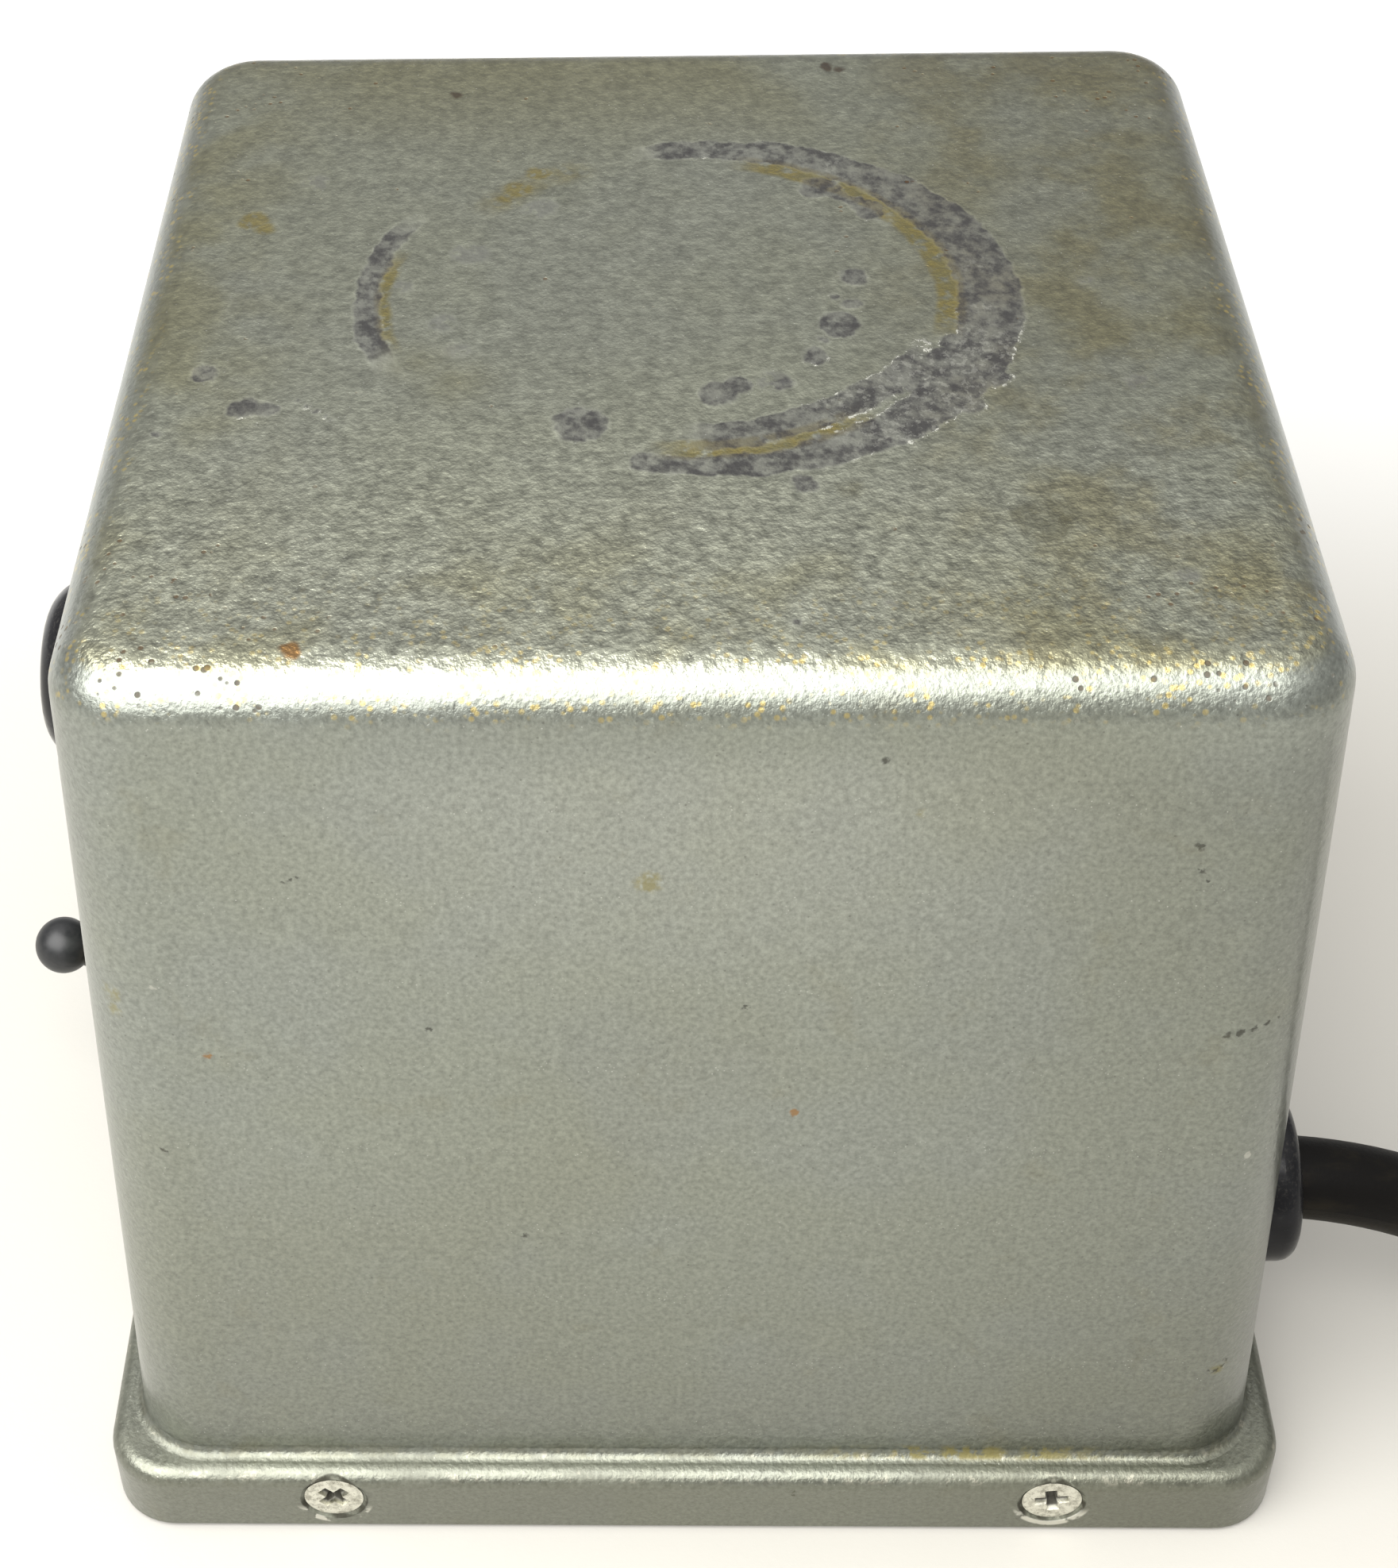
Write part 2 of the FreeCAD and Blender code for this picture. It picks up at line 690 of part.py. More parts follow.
def make_stator():
    body = new_body("stator_core")
    base = ("0", "0", "stack_bottom")
    plan = sketch_on(body, base)
    rectangle(plan, "stack_width", "stack_front + stack_rear", y="(stack_rear - stack_front) / 2")
    pad(body, plan, "stack_height")
    openings = sketch_on(body, base)
    circle(openings, "motor_bore")
    rectangle(openings, "window_width", "stack_rear - leg_depth - window_front",
              y="(stack_rear - leg_depth + window_front) / 2")
    for side in (-1, 1):
        circle(openings, "motor_bolt + 0.3", f"{side} * motor_bolt_x")
        for x, y in SHADING_HOLES:
            circle(openings, "2.3", f"{side} * {x}", f"{side} * {y}")
        for y in RIVET_ROWS:
            circle(openings, "rivet_diameter + running_gap", f"{side} * {RIVET_X}", y)
    pocket(body, openings, forward=True)

    head = "rivet_diameter * 0.8"
    rivet = turned("rivet", [
        ("0", "-1"),
        (head, "-1"),
        (head, "0 - seat_gap"),
        ("rivet_diameter / 2", "0 - seat_gap"),
        ("rivet_diameter / 2", "stack_height + seat_gap"),
        (head, "stack_height + seat_gap"),
        (head, "stack_height + 1"),
        ("0", "stack_height + 1"),
    ], kept=False)
    places = []
    for side in (-1, 1):
        for y in RIVET_ROWS:
            places.append(((f"{side} * {RIVET_X}", y, "stack_bottom"), FLAT))
    group("stator_rivets", rivet, places)
    make_shading_rings()


def make_shading_rings():
    """A closed loop of copper wire round one tip of each pole, its legs in holes through the stack."""
    (xa, ya), (xb, yb) = SHADING_HOLES
    low, high = value("stack_bottom - 1.2"), value("stack_bottom + stack_height + 1.2")
    corners = [Vector(xa, ya, low), Vector(xb, yb, low), Vector(xb, yb, high), Vector(xa, ya, high)]
    rods = []
    for start, end in zip(corners, corners[1:] + corners[:1]):
        rods.append(Part.makeCylinder(1.0, start.distanceToPoint(end), start, end - start))
    knuckles = [Part.makeSphere(1.0, corner) for corner in corners]
    loop = rods[0].multiFuse(rods[1:] + knuckles)
    piece = doc.addObject("Part::Feature", "shading_ring")
    piece.Shape = loop
    half_turn = Rotation(Vector(0, 0, 1), 180)
    group("shading_rings", piece, [(ORIGIN, FLAT), (ORIGIN, half_turn)])


def box(name, low, high):
    """A Part box between two corners given as expressions."""
    thing = doc.addObject("Part::Box", name)
    for field, a, b in zip(("Length", "Width", "Height"), low, high):
        thing.setExpression(field, bound(f"({b}) - ({a})"))
    bind_place(thing, "Placement", low)
    return thing


def cut(label, solid, tool, kept=True):
    thing = doc.addObject("Part::Cut", label)
    thing.Base = solid
    thing.Tool = tool
    if kept:
        sub_parts.append(thing)
    doc.recompute()
    return thing


def make_coil():
    """The bobbin and its winding sit round the rear leg of the stack; their axis is along X."""
    leg_y = ("stack_rear - leg_depth", "stack_rear")
    leg_z = ("stack_bottom", "stack_bottom + stack_height")

    def block(name, half_length, margin):
        low = (f"0 - ({half_length})", f"{leg_y[0]} - ({margin})", f"{leg_z[0]} - ({margin})")
        high = (half_length, f"{leg_y[1]} + ({margin})", f"{leg_z[1]} + ({margin})")
        return box(name, low, high)

    whole = block("bobbin_envelope", "window_width / 2 - 0.2", "coil_flange")
    throat = cut("bobbin_waist", block("bobbin_between", "window_width / 2 - 1.4", "coil_flange + 0.1"),
                 block("bobbin_tube", "window_width / 2", "coil_core_gap - 0.05"), kept=False)
    spool = cut("bobbin_spool", whole, throat, kept=False)
    cut("coil_bobbin", spool, block("leg_space", "window_width", "0.1"))
    winding = new_body("coil_winding")
    leg_end = ("1.5 - window_width / 2", "stack_rear - leg_depth / 2", "stack_bottom + stack_height / 2")
    section = sketch_on(winding, leg_end, FACING_X)
    rectangle(section, "leg_depth + 2 * coil_depth", "stack_height + 2 * coil_depth")
    pad(winding, section, "window_width - 3")
    along_x = lambda e: e.BoundBox.XLength > max(e.BoundBox.YLength, e.BoundBox.ZLength)
    round_edges(winding, "3", along_x)
    core = sketch_on(winding, leg_end, FACING_X)
    rectangle(core, "leg_depth + 2 * coil_core_gap", "stack_height + 2 * coil_core_gap")
    pocket(winding, core, forward=True)


def make_bracket(label, level, turn):
    """A bearing bracket: a bar across the stack, a dome over the rotor's end and the bush's hub."""
    body = new_body(label)
    bar = sketch_on(body)
    rectangle(bar, "stack_width", "bracket_bar_depth")
    pad(body, bar, "bracket_bar")
    dome = sketch_on(body)
    circle(dome, "dome_diameter")
    pad(body, dome, "bracket_bar + dome_height")
    hub = sketch_on(body)
    circle(hub, "hub_diameter")
    pad(body, hub, "bracket_bar + dome_height + hub_height")
    shell_top = value("bracket_bar + dome_height")
    round_edges(body, "2.5", lambda e: is_round(e, value("dome_diameter / 2"), shell_top))
    chamber = sketch_on(body)
    circle(chamber, "rotor_diameter + 1.8")
    pocket(body, chamber, "bracket_bar + dome_height + hub_height - bush_length", forward=True)
    seat = sketch_on(body)
    circle(seat, "bush_diameter + running_gap")
    for side in ("-1", "1"):
        circle(seat, "motor_bolt + 0.3", f"{side} * motor_bolt_x")
    pocket(body, seat, forward=True)
    place(body, ("0", "0", level), turn)


def make_brackets():
    top = "stack_bottom + stack_height"
    make_bracket("upper_bracket", top, UPRIGHT)
    make_bracket("lower_bracket", "stack_bottom", (Vector(1, 0, 0), "180"))
    reach = "bracket_bar + dome_height + hub_height"
    bush = tube("bearing_bush", "bush_diameter", "shaft_diameter + 2 * running_gap",
                "0", "bush_length", kept=False)
    upper = ("0", "0", f"{top} + {reach} - bush_length")
    lower = ("0", "0", f"stack_bottom - ({reach})")
    group("bearing_bushes", bush, [(upper, FLAT), (lower, FLAT)])

    plate_top = "motor_plate_level + motor_plate_thickness"
    bolt_length = "stack_height + 2 * bracket_bar + stack_bottom - bracket_bar - motor_plate_level + 4.6"
    bolt = pan_screw("motor_bolt_piece", "motor_bolt * 1.7", "2.4", "motor_bolt", bolt_length)
    pair = lambda level: [((f"{side} * motor_bolt_x", "0", level), FLAT) for side in (-1, 1)]
    group("motor_bolts", bolt, pair(f"{top} + bracket_bar"))
    nut = hex_nut("motor_nut", NUT_ACROSS["motor"], "motor_bolt + hole_slack", "3.2", kept=False)
    group("motor_nuts", nut, pair("motor_plate_level - 3.2"))
    spacer = tube("motor_spacer", "7", "motor_bolt + 0.3", "0",
                  f"stack_bottom - bracket_bar - ({plate_top})", kept=False)
    group("motor_spacers", spacer, pair(plate_top))


def make_rotor():
    tube("motor_shaft", "shaft_diameter", None, "shaft_bottom", "shaft_top")
    bore = "shaft_diameter + running_gap"
    core = tube("rotor_core", "rotor_diameter", bore, "stack_bottom", "stack_bottom + stack_height")
    slot = sketch_on(core, ("0", "0", "stack_bottom"))
    circle(slot, "bar_diameter + running_gap", "bar_circle / 2")
    feature = pocket(core, slot, forward=True)
    pattern_round(core, [feature], ROTOR_BARS)

    cage = new_body("rotor_cage")
    for level in ("stack_bottom - ring_height", "stack_bottom + stack_height"):
        ring = sketch_on(cage, ("0", "0", level))
        circle(ring, "rotor_diameter - 0.6")
        circle(ring, "bar_circle - 4")
        pad(cage, ring, "ring_height")
    bar = sketch_on(cage, ("0", "0", "stack_bottom - ring_height"))
    circle(bar, "bar_diameter", "bar_circle / 2")
    feature = pad(cage, bar, "stack_height + 2 * ring_height")
    pattern_round(cage, [feature], ROTOR_BARS)

    collar = tube("shaft_collar", "9", bore, "0", "bush_length - 1.9", kept=False)
    upper = ("0", "0", "stack_bottom + stack_height + 0.1")
    lower = ("0", "0", "stack_bottom - bush_length + 1.8")
    group("shaft_collars", collar, [(upper, FLAT), (lower, FLAT)])


# ---- magnet drive --------------------------------------------------------------------------------


def make_magnet_drive():
    hub = tube("magnet_hub", "drive_hub_diameter", "shaft_diameter + running_gap", "drive_bottom",
               "drive_bottom + drive_hub_height")
    side_hole = sketch_on(hub, ("0", "0", "drive_bottom + drive_hub_height / 2"), FACING_X)
    circle(side_hole, "3.1")
    pocket(hub, side_hole, "drive_hub_diameter", forward=True)
    taps = sketch_on(hub, ("0", "0", "drive_bottom"))
    for side in ("-1", "1"):
        circle(taps, "2.6", "0", f"{side} * yoke_screw_y")
    pocket(hub, taps, forward=True)

    grub = tube("hub_set_screw", "3", None, "0", "5")
    beside_shaft = ("shaft_diameter / 2 + 0.1", "0", "drive_bottom + drive_hub_height / 2")
    place(grub, beside_shaft, (Vector(0, 1, 0), "90"))

    yoke_level = "drive_bottom + drive_hub_height"
    yoke = new_body("magnet_yoke")
    plan = sketch_on(yoke, ("0", "0", yoke_level))
    rectangle(plan, "yoke_length", "yoke_width")
    pad(yoke, plan, "yoke_thickness")
    round_edges(yoke, "yoke_width / 2 - 0.5", is_upright)
    holes = sketch_on(yoke, ("0", "0", yoke_level))
    for side in ("-1", "1"):
        circle(holes, "2.8", "0", f"{side} * yoke_screw_y")
    pocket(yoke, holes, forward=True)

    screw = pan_screw("yoke_screw", "4.4", "1.6", "2.5", "yoke_thickness + 4.5", slot="0.7")
    top = f"{yoke_level} + yoke_thickness"
    group("yoke_screws", screw, [(("0", f"{side} * yoke_screw_y", top), FLAT) for side in (-1, 1)])
    magnet = tube("drive_magnet", "magnet_diameter", None, "0", "magnet_height", kept=False)
    is_top = lambda e: is_round(e, value("magnet_diameter / 2"), value("magnet_height"))
    round_edges(magnet, "0.6", is_top, "Chamfer")
    group("drive_magnets", magnet, [((f"{side} * magnet_offset", "0", top), FLAT) for side in (-1, 1)])


# ---- rheostat and knob: built with Z out of the front wall, then turned to the wall --------------


def on_front(thing, level):
    place(thing, wall_point(level), FRONT)


def on_wall_with_lift(thing, level, lift):
    """Stands a piece off the front wall by a distance along the wall's normal."""
    x, y, z = wall_point(level)
    place(thing, (x, f"{y} - ({lift}) * cos(draft)", f"{z} + ({lift}) * sin(draft)"), FRONT)


def make_rheostat():
    inner_face = "0 - wall - 0.1"
    disc_back = "0 - wall - ceramic_depth"
    clamped = f"{disc_back} - 0.05"
    track_back = "0 - wall - track_depth"
    base = turned("rheostat_base", [
        ("bushing_diameter / 2 + hole_slack", inner_face),
        ("bushing_diameter / 2 + hole_slack", disc_back),
        ("rheostat_diameter / 2", disc_back),
        ("rheostat_diameter / 2", inner_face),
    ])
    winding = turned("resistance_winding", [
        ("track_inner / 2", track_back),
        ("rheostat_diameter / 2 - 0.5", track_back),
        ("rheostat_diameter / 2 - 0.5", clamped),
        ("track_inner / 2", clamped),
    ])
    round_edges(winding, "1.5", lambda e: is_level(e, value(track_back)))
    bushing = turned("rheostat_bushing", [
        ("spindle_diameter / 2 + running_gap", f"{disc_back} - 2"),
        ("8", f"{disc_back} - 2"),
        ("8", clamped),
        ("bushing_diameter / 2", clamped),
        ("bushing_diameter / 2", "4.5"),
        ("spindle_diameter / 2 + running_gap", "4.5"),
    ])
    washer = tube("rheostat_washer", "15", "bushing_diameter + hole_slack", "seat_gap", "washer_thickness")
    nut = hex_nut("rheostat_nut", NUT_ACROSS["rheostat"], "bushing_diameter + hole_slack", "2.4")
    tabs = rheostat_tab()
    for thing in (base, winding, bushing, washer):
        on_front(thing, "knob_level")
    on_wall_with_lift(nut, "knob_level", "nut_lift")
    upright = Rotation(FRONT[0], value(FRONT[1]))
    turns = [upright * Rotation(Vector(0, 0, 1), angle) for angle in (-130, -90, -50)]
    group("rheostat_terminals", tabs, [(wall_point("knob_level"), turn) for turn in turns])


def rheostat_tab():
    """A solder tab that stands out past the rim of the ceramic base."""
    tab = new_body("rheostat_tab", kept=False)
    plan = sketch_on(tab, ("0", "0", "0 - wall - 2.6"))
    rectangle(plan, "7", "4", x="rheostat_diameter / 2 + 3.6")
    pad(tab, plan, "0.8")
    eye = sketch_on(tab, ("0", "0", "0 - wall - 2.6"))
    circle(eye, "1.8", "rheostat_diameter / 2 + 5")
    pocket(tab, eye, forward=True)
    return tab


def make_spindle():
    wiper_level = "0 - wall - wiper_depth"
    spindle = tube("rheostat_shaft", "spindle_diameter", None,
                   f"{wiper_level} - 0.1", "knob_lift + knob_height - 2.2")
    on_front(spindle, "knob_level")
    arm = new_body("wiper_arm")
    hub = sketch_on(arm, ("0", "0", wiper_level))
    circle(hub, "11")
    pad(arm, hub, "6")
    blade = sketch_on(arm, ("0", "0", wiper_level))
    rectangle(blade, "18", "5", x="9")
    pad(arm, blade, "1")
    brush = sketch_on(arm, ("0", "0", wiper_level))
    circle(brush, "3", "rheostat_diameter / 2 - 3")
    pad(arm, brush, "1.35")
    bore = sketch_on(arm, ("0", "0", wiper_level))
    circle(bore, "spindle_diameter + running_gap")
    pocket(arm, bore, forward=True)
    place(arm, wall_point("knob_level"), FRONT)


def make_knob():
    """Hollow behind, rounded in front, with a groove for a pointer and a set screw in its side."""
    top = "knob_lift + knob_height"
    knob = turned("speed_knob", [
        ("0", "knob_lift + knob_recess"),
        ("knob_recess_radius", "knob_lift + knob_recess"),
        ("knob_recess_radius", "knob_lift"),
        ("knob_diameter / 2", "knob_lift"),
        ("knob_diameter / 2", "knob_lift + knob_skirt"),
        ("knob_face_diameter / 2", top),
        ("0", top),
    ])
    is_face = lambda e: is_round(e, value("knob_face_diameter / 2"), value(top))
    is_back = lambda e: is_round(e, value("knob_diameter / 2"), value("knob_lift"))
    round_edges(knob, "knob_face_round", is_face)
    round_edges(knob, "knob_back_round", is_back)
    bore = sketch_on(knob, ("0", "0", "knob_lift + knob_recess"))
    circle(bore, "spindle_diameter + running_gap")
    pocket(knob, bore, "knob_height - knob_recess - 2", forward=True)
    line = sketch_on(knob, ("0", "0", top))
    rectangle(line, "1.1", "4.8", y="3.7")
    pocket(knob, line, "0.5")
    screw_level = "knob_lift + knob_screw_level"
    side_hole = sketch_on(knob, ("0", "0", screw_level), PROFILE)
    circle(side_hole, "knob_screw + hole_slack")
    pocket(knob, side_hole, "knob_diameter", forward=True)
    on_front(knob, "knob_level")

    grub = new_body("knob_set_screw")
    plan = sketch_on(grub, ("0", "0 - spindle_diameter / 2 - 0.1", screw_level), PROFILE)
    circle(plan, "knob_screw")
    pad(grub, plan, "6")
    on_front(grub, "knob_level")


# ---- toggle switch -------------------------------------------------------------------------------


def make_switch():
    back = "0 - wall - 1.3"
    throat = "switch_throat / 2"
    bushing = turned("switch_bushing", [
        ("4.75", back),
        ("6.8", back),
        ("6.8", "0 - wall - 0.1"),
        ("switch_bushing / 2", "0 - wall - 0.1"),
        ("switch_bushing / 2", "7"),
        ("4.5", "7"),
        (throat, "pivot_height + 1.6"),
        (throat, "pivot_height - 1.2"),
    ])
    pin_hole = sketch_on(bushing, ("0", "0", "pivot_height"), FACING_X)
    circle(pin_hole, "lever_pin + running_gap")
    pocket(bushing, pin_hole, both=True)
    washer = tube("switch_washer", "17", "switch_bushing + hole_slack", "seat_gap", "washer_thickness")
    nut = hex_nut("switch_nut", NUT_ACROSS["switch"], "switch_bushing + hole_slack", "2.4")
    case = new_body("switch_body")
    plan = sketch_on(case, ("0", "0", f"{back} - seat_gap - switch_depth"))
    rectangle(plan, "switch_width", "switch_height")
    pad(case, plan, "switch_depth")
    round_edges(case, "1.2", is_upright)
    chamber = sketch_on(case, ("0", "0", f"{back} - seat_gap"))
    rectangle(chamber, "8", "13")
    pocket(case, chamber, "5")
    for thing in (bushing, washer, case):
        on_front(thing, "switch_level")
    on_wall_with_lift(nut, "switch_level", "nut_lift")

    pin_half = "switch_bushing / 2 - 0.3"
    pin = tube("lever_pin", "lever_pin", None, f"0 - ({pin_half})", pin_half)
    x, y, z = wall_point("switch_level")
    pivot = (x, f"{y} - pivot_height * cos(draft)", f"{z} + pivot_height * sin(draft)")
    place(pin, pivot, (Vector(0, 1, 0), "90"))
    make_switch_terminals(back)
    make_lever(pivot)


def make_switch_terminals(back):
    tab = new_body("switch_terminal", kept=False)
    plan = sketch_on(tab, ("0", "0", f"{back} - switch_depth - 7.05"))
    rectangle(plan, "5", "0.8")
    pad(tab, plan, "7")
    eye = sketch_on(tab, ("0", "0", f"{back} - switch_depth - 4.5"), PROFILE)
    circle(eye, "2")
    pocket(tab, eye, both=True)
    x, y, z = wall_point("switch_level")
    turn = Rotation(FRONT[0], value(FRONT[1]))
    places = []
    for side in (-1, 1):
        at = (x, f"{y} + {side} * 8 * sin(draft)", f"{z} + {side} * 8 * cos(draft)")
        places.append((at, turn))
    group("switch_terminals", tab, places)


def make_lever(pivot):
    """A ball-ended lever turned from one bar along its own Z: ball, neck, pivot ball and tail."""
    pieces = []
    balls = (("toggle_ball_end", "toggle_ball / 2", "toggle_length"), ("toggle_pivot", "3.2", "0"))
    for name, radius, height in balls:
        ball = doc.addObject("Part::Sphere", name)
        ball.setExpression("Radius", bound(radius))
        bind_place(ball, "Placement", ("0", "0", height))
        pieces.append(ball)
    for name, start, end, length, height in (
        ("toggle_neck", "1.9", "1.75", "toggle_length - 2", "0"),
        ("toggle_tail", "1.0", "1.4", "lever_tail", "0 - lever_tail"),
    ):
        cone = doc.addObject("Part::Cone", name)
        cone.setExpression("Radius1", bound(start))
        cone.setExpression("Radius2", bound(end))
        cone.setExpression("Height", bound(length))
        bind_place(cone, "Placement", ("0", "0", height))
        pieces.append(cone)
    blank = doc.addObject("Part::MultiFuse", "toggle_blank")
    blank.Shapes = pieces
    eye = doc.addObject("Part::Cylinder", "toggle_eye")
    eye.setExpression("Radius", bound("lever_pin / 2 + 1.5 * running_gap"))
    eye.Height = 12
    eye.Placement = FreeCAD.Placement(Vector(-6, 0, 0), Rotation(Vector(0, 1, 0), 90))
    lever = cut("toggle_lever", blank, eye)
    place(lever, pivot, (Vector(1, 0, 0), "90 - toggle_tilt"))


# ---- mains entry and wiring ----------------------------------------------------------------------


def make_gland():
    """A rounded bush with a flared mouth, held by a nut inside the wall and a collar on the cord."""
    bore = "cable_diameter / 2 + gland_bore_gap"
    inner_end = "0 - wall - gland_reach"
    gland = turned("cable_gland", [
        (bore, inner_end),
        ("gland_shank / 2", inner_end),
        ("gland_shank / 2", "seat_gap"),
        ("gland_diameter / 2", "seat_gap"),
        ("gland_diameter / 2", "gland_height"),
        ("cable_diameter / 2 + gland_mouth_gap", "gland_height"),
        (bore, "cable_bend_start"),
    ])
    is_rim = lambda e: is_round(e, value("gland_diameter / 2"), value("gland_height"))
    round_edges(gland, "gland_round", is_rim)
    nut = hex_nut("gland_nut", NUT_ACROSS["gland"], "gland_shank + hole_slack", "4.5")
    rim = wall_point("cable_level", "cable_x", 1)
    place(gland, rim, REAR)
    depth = "(wall + 4.6)"
    behind = (rim[0], f"{rim[1]} - {depth} * cos(draft)", f"{rim[2]} - {depth} * sin(draft)")
    place(nut, behind, REAR)
    collar = tube("cord_collar", "17", "cable_diameter + hole_slack",
                  f"{inner_end} - 6.5", f"{inner_end} - 0.2")
    place(collar, rim, REAR)


def sweep_round(label, edges, diameter):
    """A solid round bar along a chain of tangent edges."""
    start = edges[0].valueAt(edges[0].FirstParameter)
    onward = edges[0].tangentAt(edges[0].FirstParameter)
    ring = Part.Wire([Part.makeCircle(diameter / 2, start, onward)])
    thing = doc.addObject("Part::Feature", label)
    thing.Shape = Part.Wire(edges).makePipeShell([ring], True, False)
    sub_parts.append(thing)


def make_cable():
    """Straight through the gland, then one arc down and one arc back level, just clear of the bench."""
    slope = math.radians(value("draft"))
    outward = Vector(0, math.cos(slope), math.sin(slope))
    start = vector(wall_point("cable_level", "cable_x", 1)) + outward * value("cable_bend_start")
    bend = value("cable_bend")
    drop = start.z - value("cable_diameter / 2 + cable_clearance")
    steepest = math.acos((1 + math.cos(slope) - drop / bend) / 2)

    def spoke(angle):
        """From a bend's centre to where the cable slopes by that angle."""
        return Vector(0, math.sin(angle), math.cos(angle)) * bend

    inner = start - outward * value("cable_bend_start + wall + cable_inside")
    down = start - spoke(-slope)
    turn_point = down + spoke(steepest)
    up = turn_point + spoke(steepest)
    half_up = up - spoke(steepest / 2)
    landing = up - spoke(0)
    edges = [
        Part.makeLine(inner, start),
        Part.Arc(start, down + spoke((steepest - slope) / 2), turn_point).toShape(),
        Part.Arc(turn_point, half_up, landing).toShape(),
        Part.makeLine(landing, Vector(landing.x, value("cable_end"), landing.z)),
    ]
    sweep_round("mains_cable", edges, value("cable_diameter"))
    return inner, outward


def lead(label, points):
    """An insulated wire of round section through points, with rounded bends."""
    bend = value("core_bend")
    edges = []
    here = points[0]
    for before, corner, after in zip(points, points[1:], points[2:]):
        back = (before - corner).normalize()
        on = (after - corner).normalize()
        reach = min(bend, corner.distanceToPoint(before) / 2, corner.distanceToPoint(after) / 2)
        enter, leave = corner + back * reach, corner + on * reach
        edges.append(Part.makeLine(here, enter))
        half = back.getAngle(on) / 2
        radius = reach * math.tan(half)
        inward = (back + on).normalize()
        nearest = corner + inward * (radius / math.sin(half) - radius)
        edges.append(Part.Arc(enter, nearest, leave).toShape())
        here = leave
    edges.append(Part.makeLine(here, points[-1]))
    sweep_round(label, edges, value("core_diameter"))


def make_wiring(cable_end, outward):
    """The three cores of the cable and the two leads between the switch, the rheostat and the coil."""
    inward = outward * -1
    start = cable_end + inward * 0.3
    live = start + Vector(2.1, 0, 1.2)
    neutral = start + Vector(-2.1, 0, 1.2)
    earth = start + Vector(0, 0, -2.3)
    behind_switch = value("0 - body_side / 2 + 2 + wall + 1.3 + switch_depth + 7.6")
    upper = value("switch_level + 9.1")
    lower = value("switch_level - 7.0")
    tab_y = value("0 - body_side / 2 + 2.6 + wall + 2.2")
    tab_z = value("knob_level - rheostat_diameter / 2 - 7.6")
    coil_y, coil_z = value("stack_rear - leg_depth / 2 + 9"), value("stack_bottom - 9.6")
    right = value("pillar_x + 12")
    lead("live_core", [live, live + inward * 7, Vector(right, 20, 26), Vector(right, -14, 29),
                       Vector(0, -14, upper), Vector(0, behind_switch, upper)])
    lead("neutral_core", [neutral, neutral + inward * 6, Vector(-11, 36, 36), Vector(-11, coil_y, 46),
                          Vector(-11, coil_y, coil_z)])
    tag_x = value(EARTH_X)
    lead("earth_core", [earth, earth + inward * 5, Vector(tag_x, 38, 14), Vector(tag_x, 38, 8.6),
                        Vector(tag_x, 34, 7.65), Vector(tag_x, 30.6, 7.65)])
    lead("switch_lead", [Vector(0, behind_switch, lower), Vector(0, -22, lower),
                         Vector(-14, -24, lower + 4), Vector(-14, -26, 36),
                         Vector(-17, tab_y, 38), Vector(-17.5, tab_y, tab_z + 5.5)])
    lead("rheostat_lead", [Vector(17.5, tab_y, tab_z + 5.5), Vector(17.5, tab_y, 38),
                           Vector(right, -40, 38), Vector(right, 34, 48),
                           Vector(11, coil_y, 48), Vector(11, coil_y, coil_z)])

    tag = new_body("earth_tag")
    plan = sketch_on(tag, (EARTH_X, "earth_y", PLATE_TOP))
    circle(plan, "8")
    pad(tag, plan, "washer_thickness")
    tail = sketch_on(tag, (EARTH_X, "earth_y", PLATE_TOP))
    rectangle(tail, "3", "8", y="5.5")
    pad(tag, tail, "washer_thickness")
    eye = sketch_on(tag, (EARTH_X, "earth_y", PLATE_TOP))
    circle(eye, "foot_screw + 2 * hole_slack")
    pocket(tag, eye, forward=True)
    screw = pan_screw("earth_screw", "5.6", "2", "foot_screw", "4.4", slot="0.8", kept=True)
    place(screw, (EARTH_X, "earth_y", f"{PLATE_TOP} + washer_thickness"))


# ---- build, check and export ---------------------------------------------------------------------


def check_document():
    for thing in doc.Objects:
        if "Invalid" in thing.State or "Error" in thing.State:
            raise RuntimeError(f"{thing.Label} failed: {thing.State}")
    for part in sub_parts:
        if part.Shape.isNull() or not part.Shape.isValid() or not part.Shape.Solids:
            raise RuntimeError(f"{part.Label} has no valid solid")


def export():
    os.makedirs("parts", exist_ok=True)
    for part in sub_parts:
        part.Shape.exportStep(f"parts/{part.Label}.step")


fill_sheet()
make_housing()
make_base_plate()
make_lip_screws()
make_feet()
make_motor_mount()
make_stator()
make_coil()
make_brackets()
make_rotor()
make_magnet_drive()
make_rheostat()
make_spindle()
make_knob()
make_switch()
make_gland()
make_wiring(*make_cable())
doc.recompute()
check_document()
export()
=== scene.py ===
import math

import bpy
from mathutils import Matrix, Vector


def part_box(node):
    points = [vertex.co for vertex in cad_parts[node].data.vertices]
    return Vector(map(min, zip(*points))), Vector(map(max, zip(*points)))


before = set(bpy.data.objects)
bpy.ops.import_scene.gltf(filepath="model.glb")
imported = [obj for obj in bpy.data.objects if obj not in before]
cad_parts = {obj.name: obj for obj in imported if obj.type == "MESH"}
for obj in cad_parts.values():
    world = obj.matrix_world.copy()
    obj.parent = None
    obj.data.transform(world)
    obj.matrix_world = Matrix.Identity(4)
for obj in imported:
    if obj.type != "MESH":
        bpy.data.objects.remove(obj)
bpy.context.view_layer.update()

MM = 0.001

# ---------------------------------------------------------------- places, in millimetres, from the frame


def span(node):
    """Lowest and highest corner of a CAD node, in millimetres."""
    low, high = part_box(node)
    return low / MM, high / MM


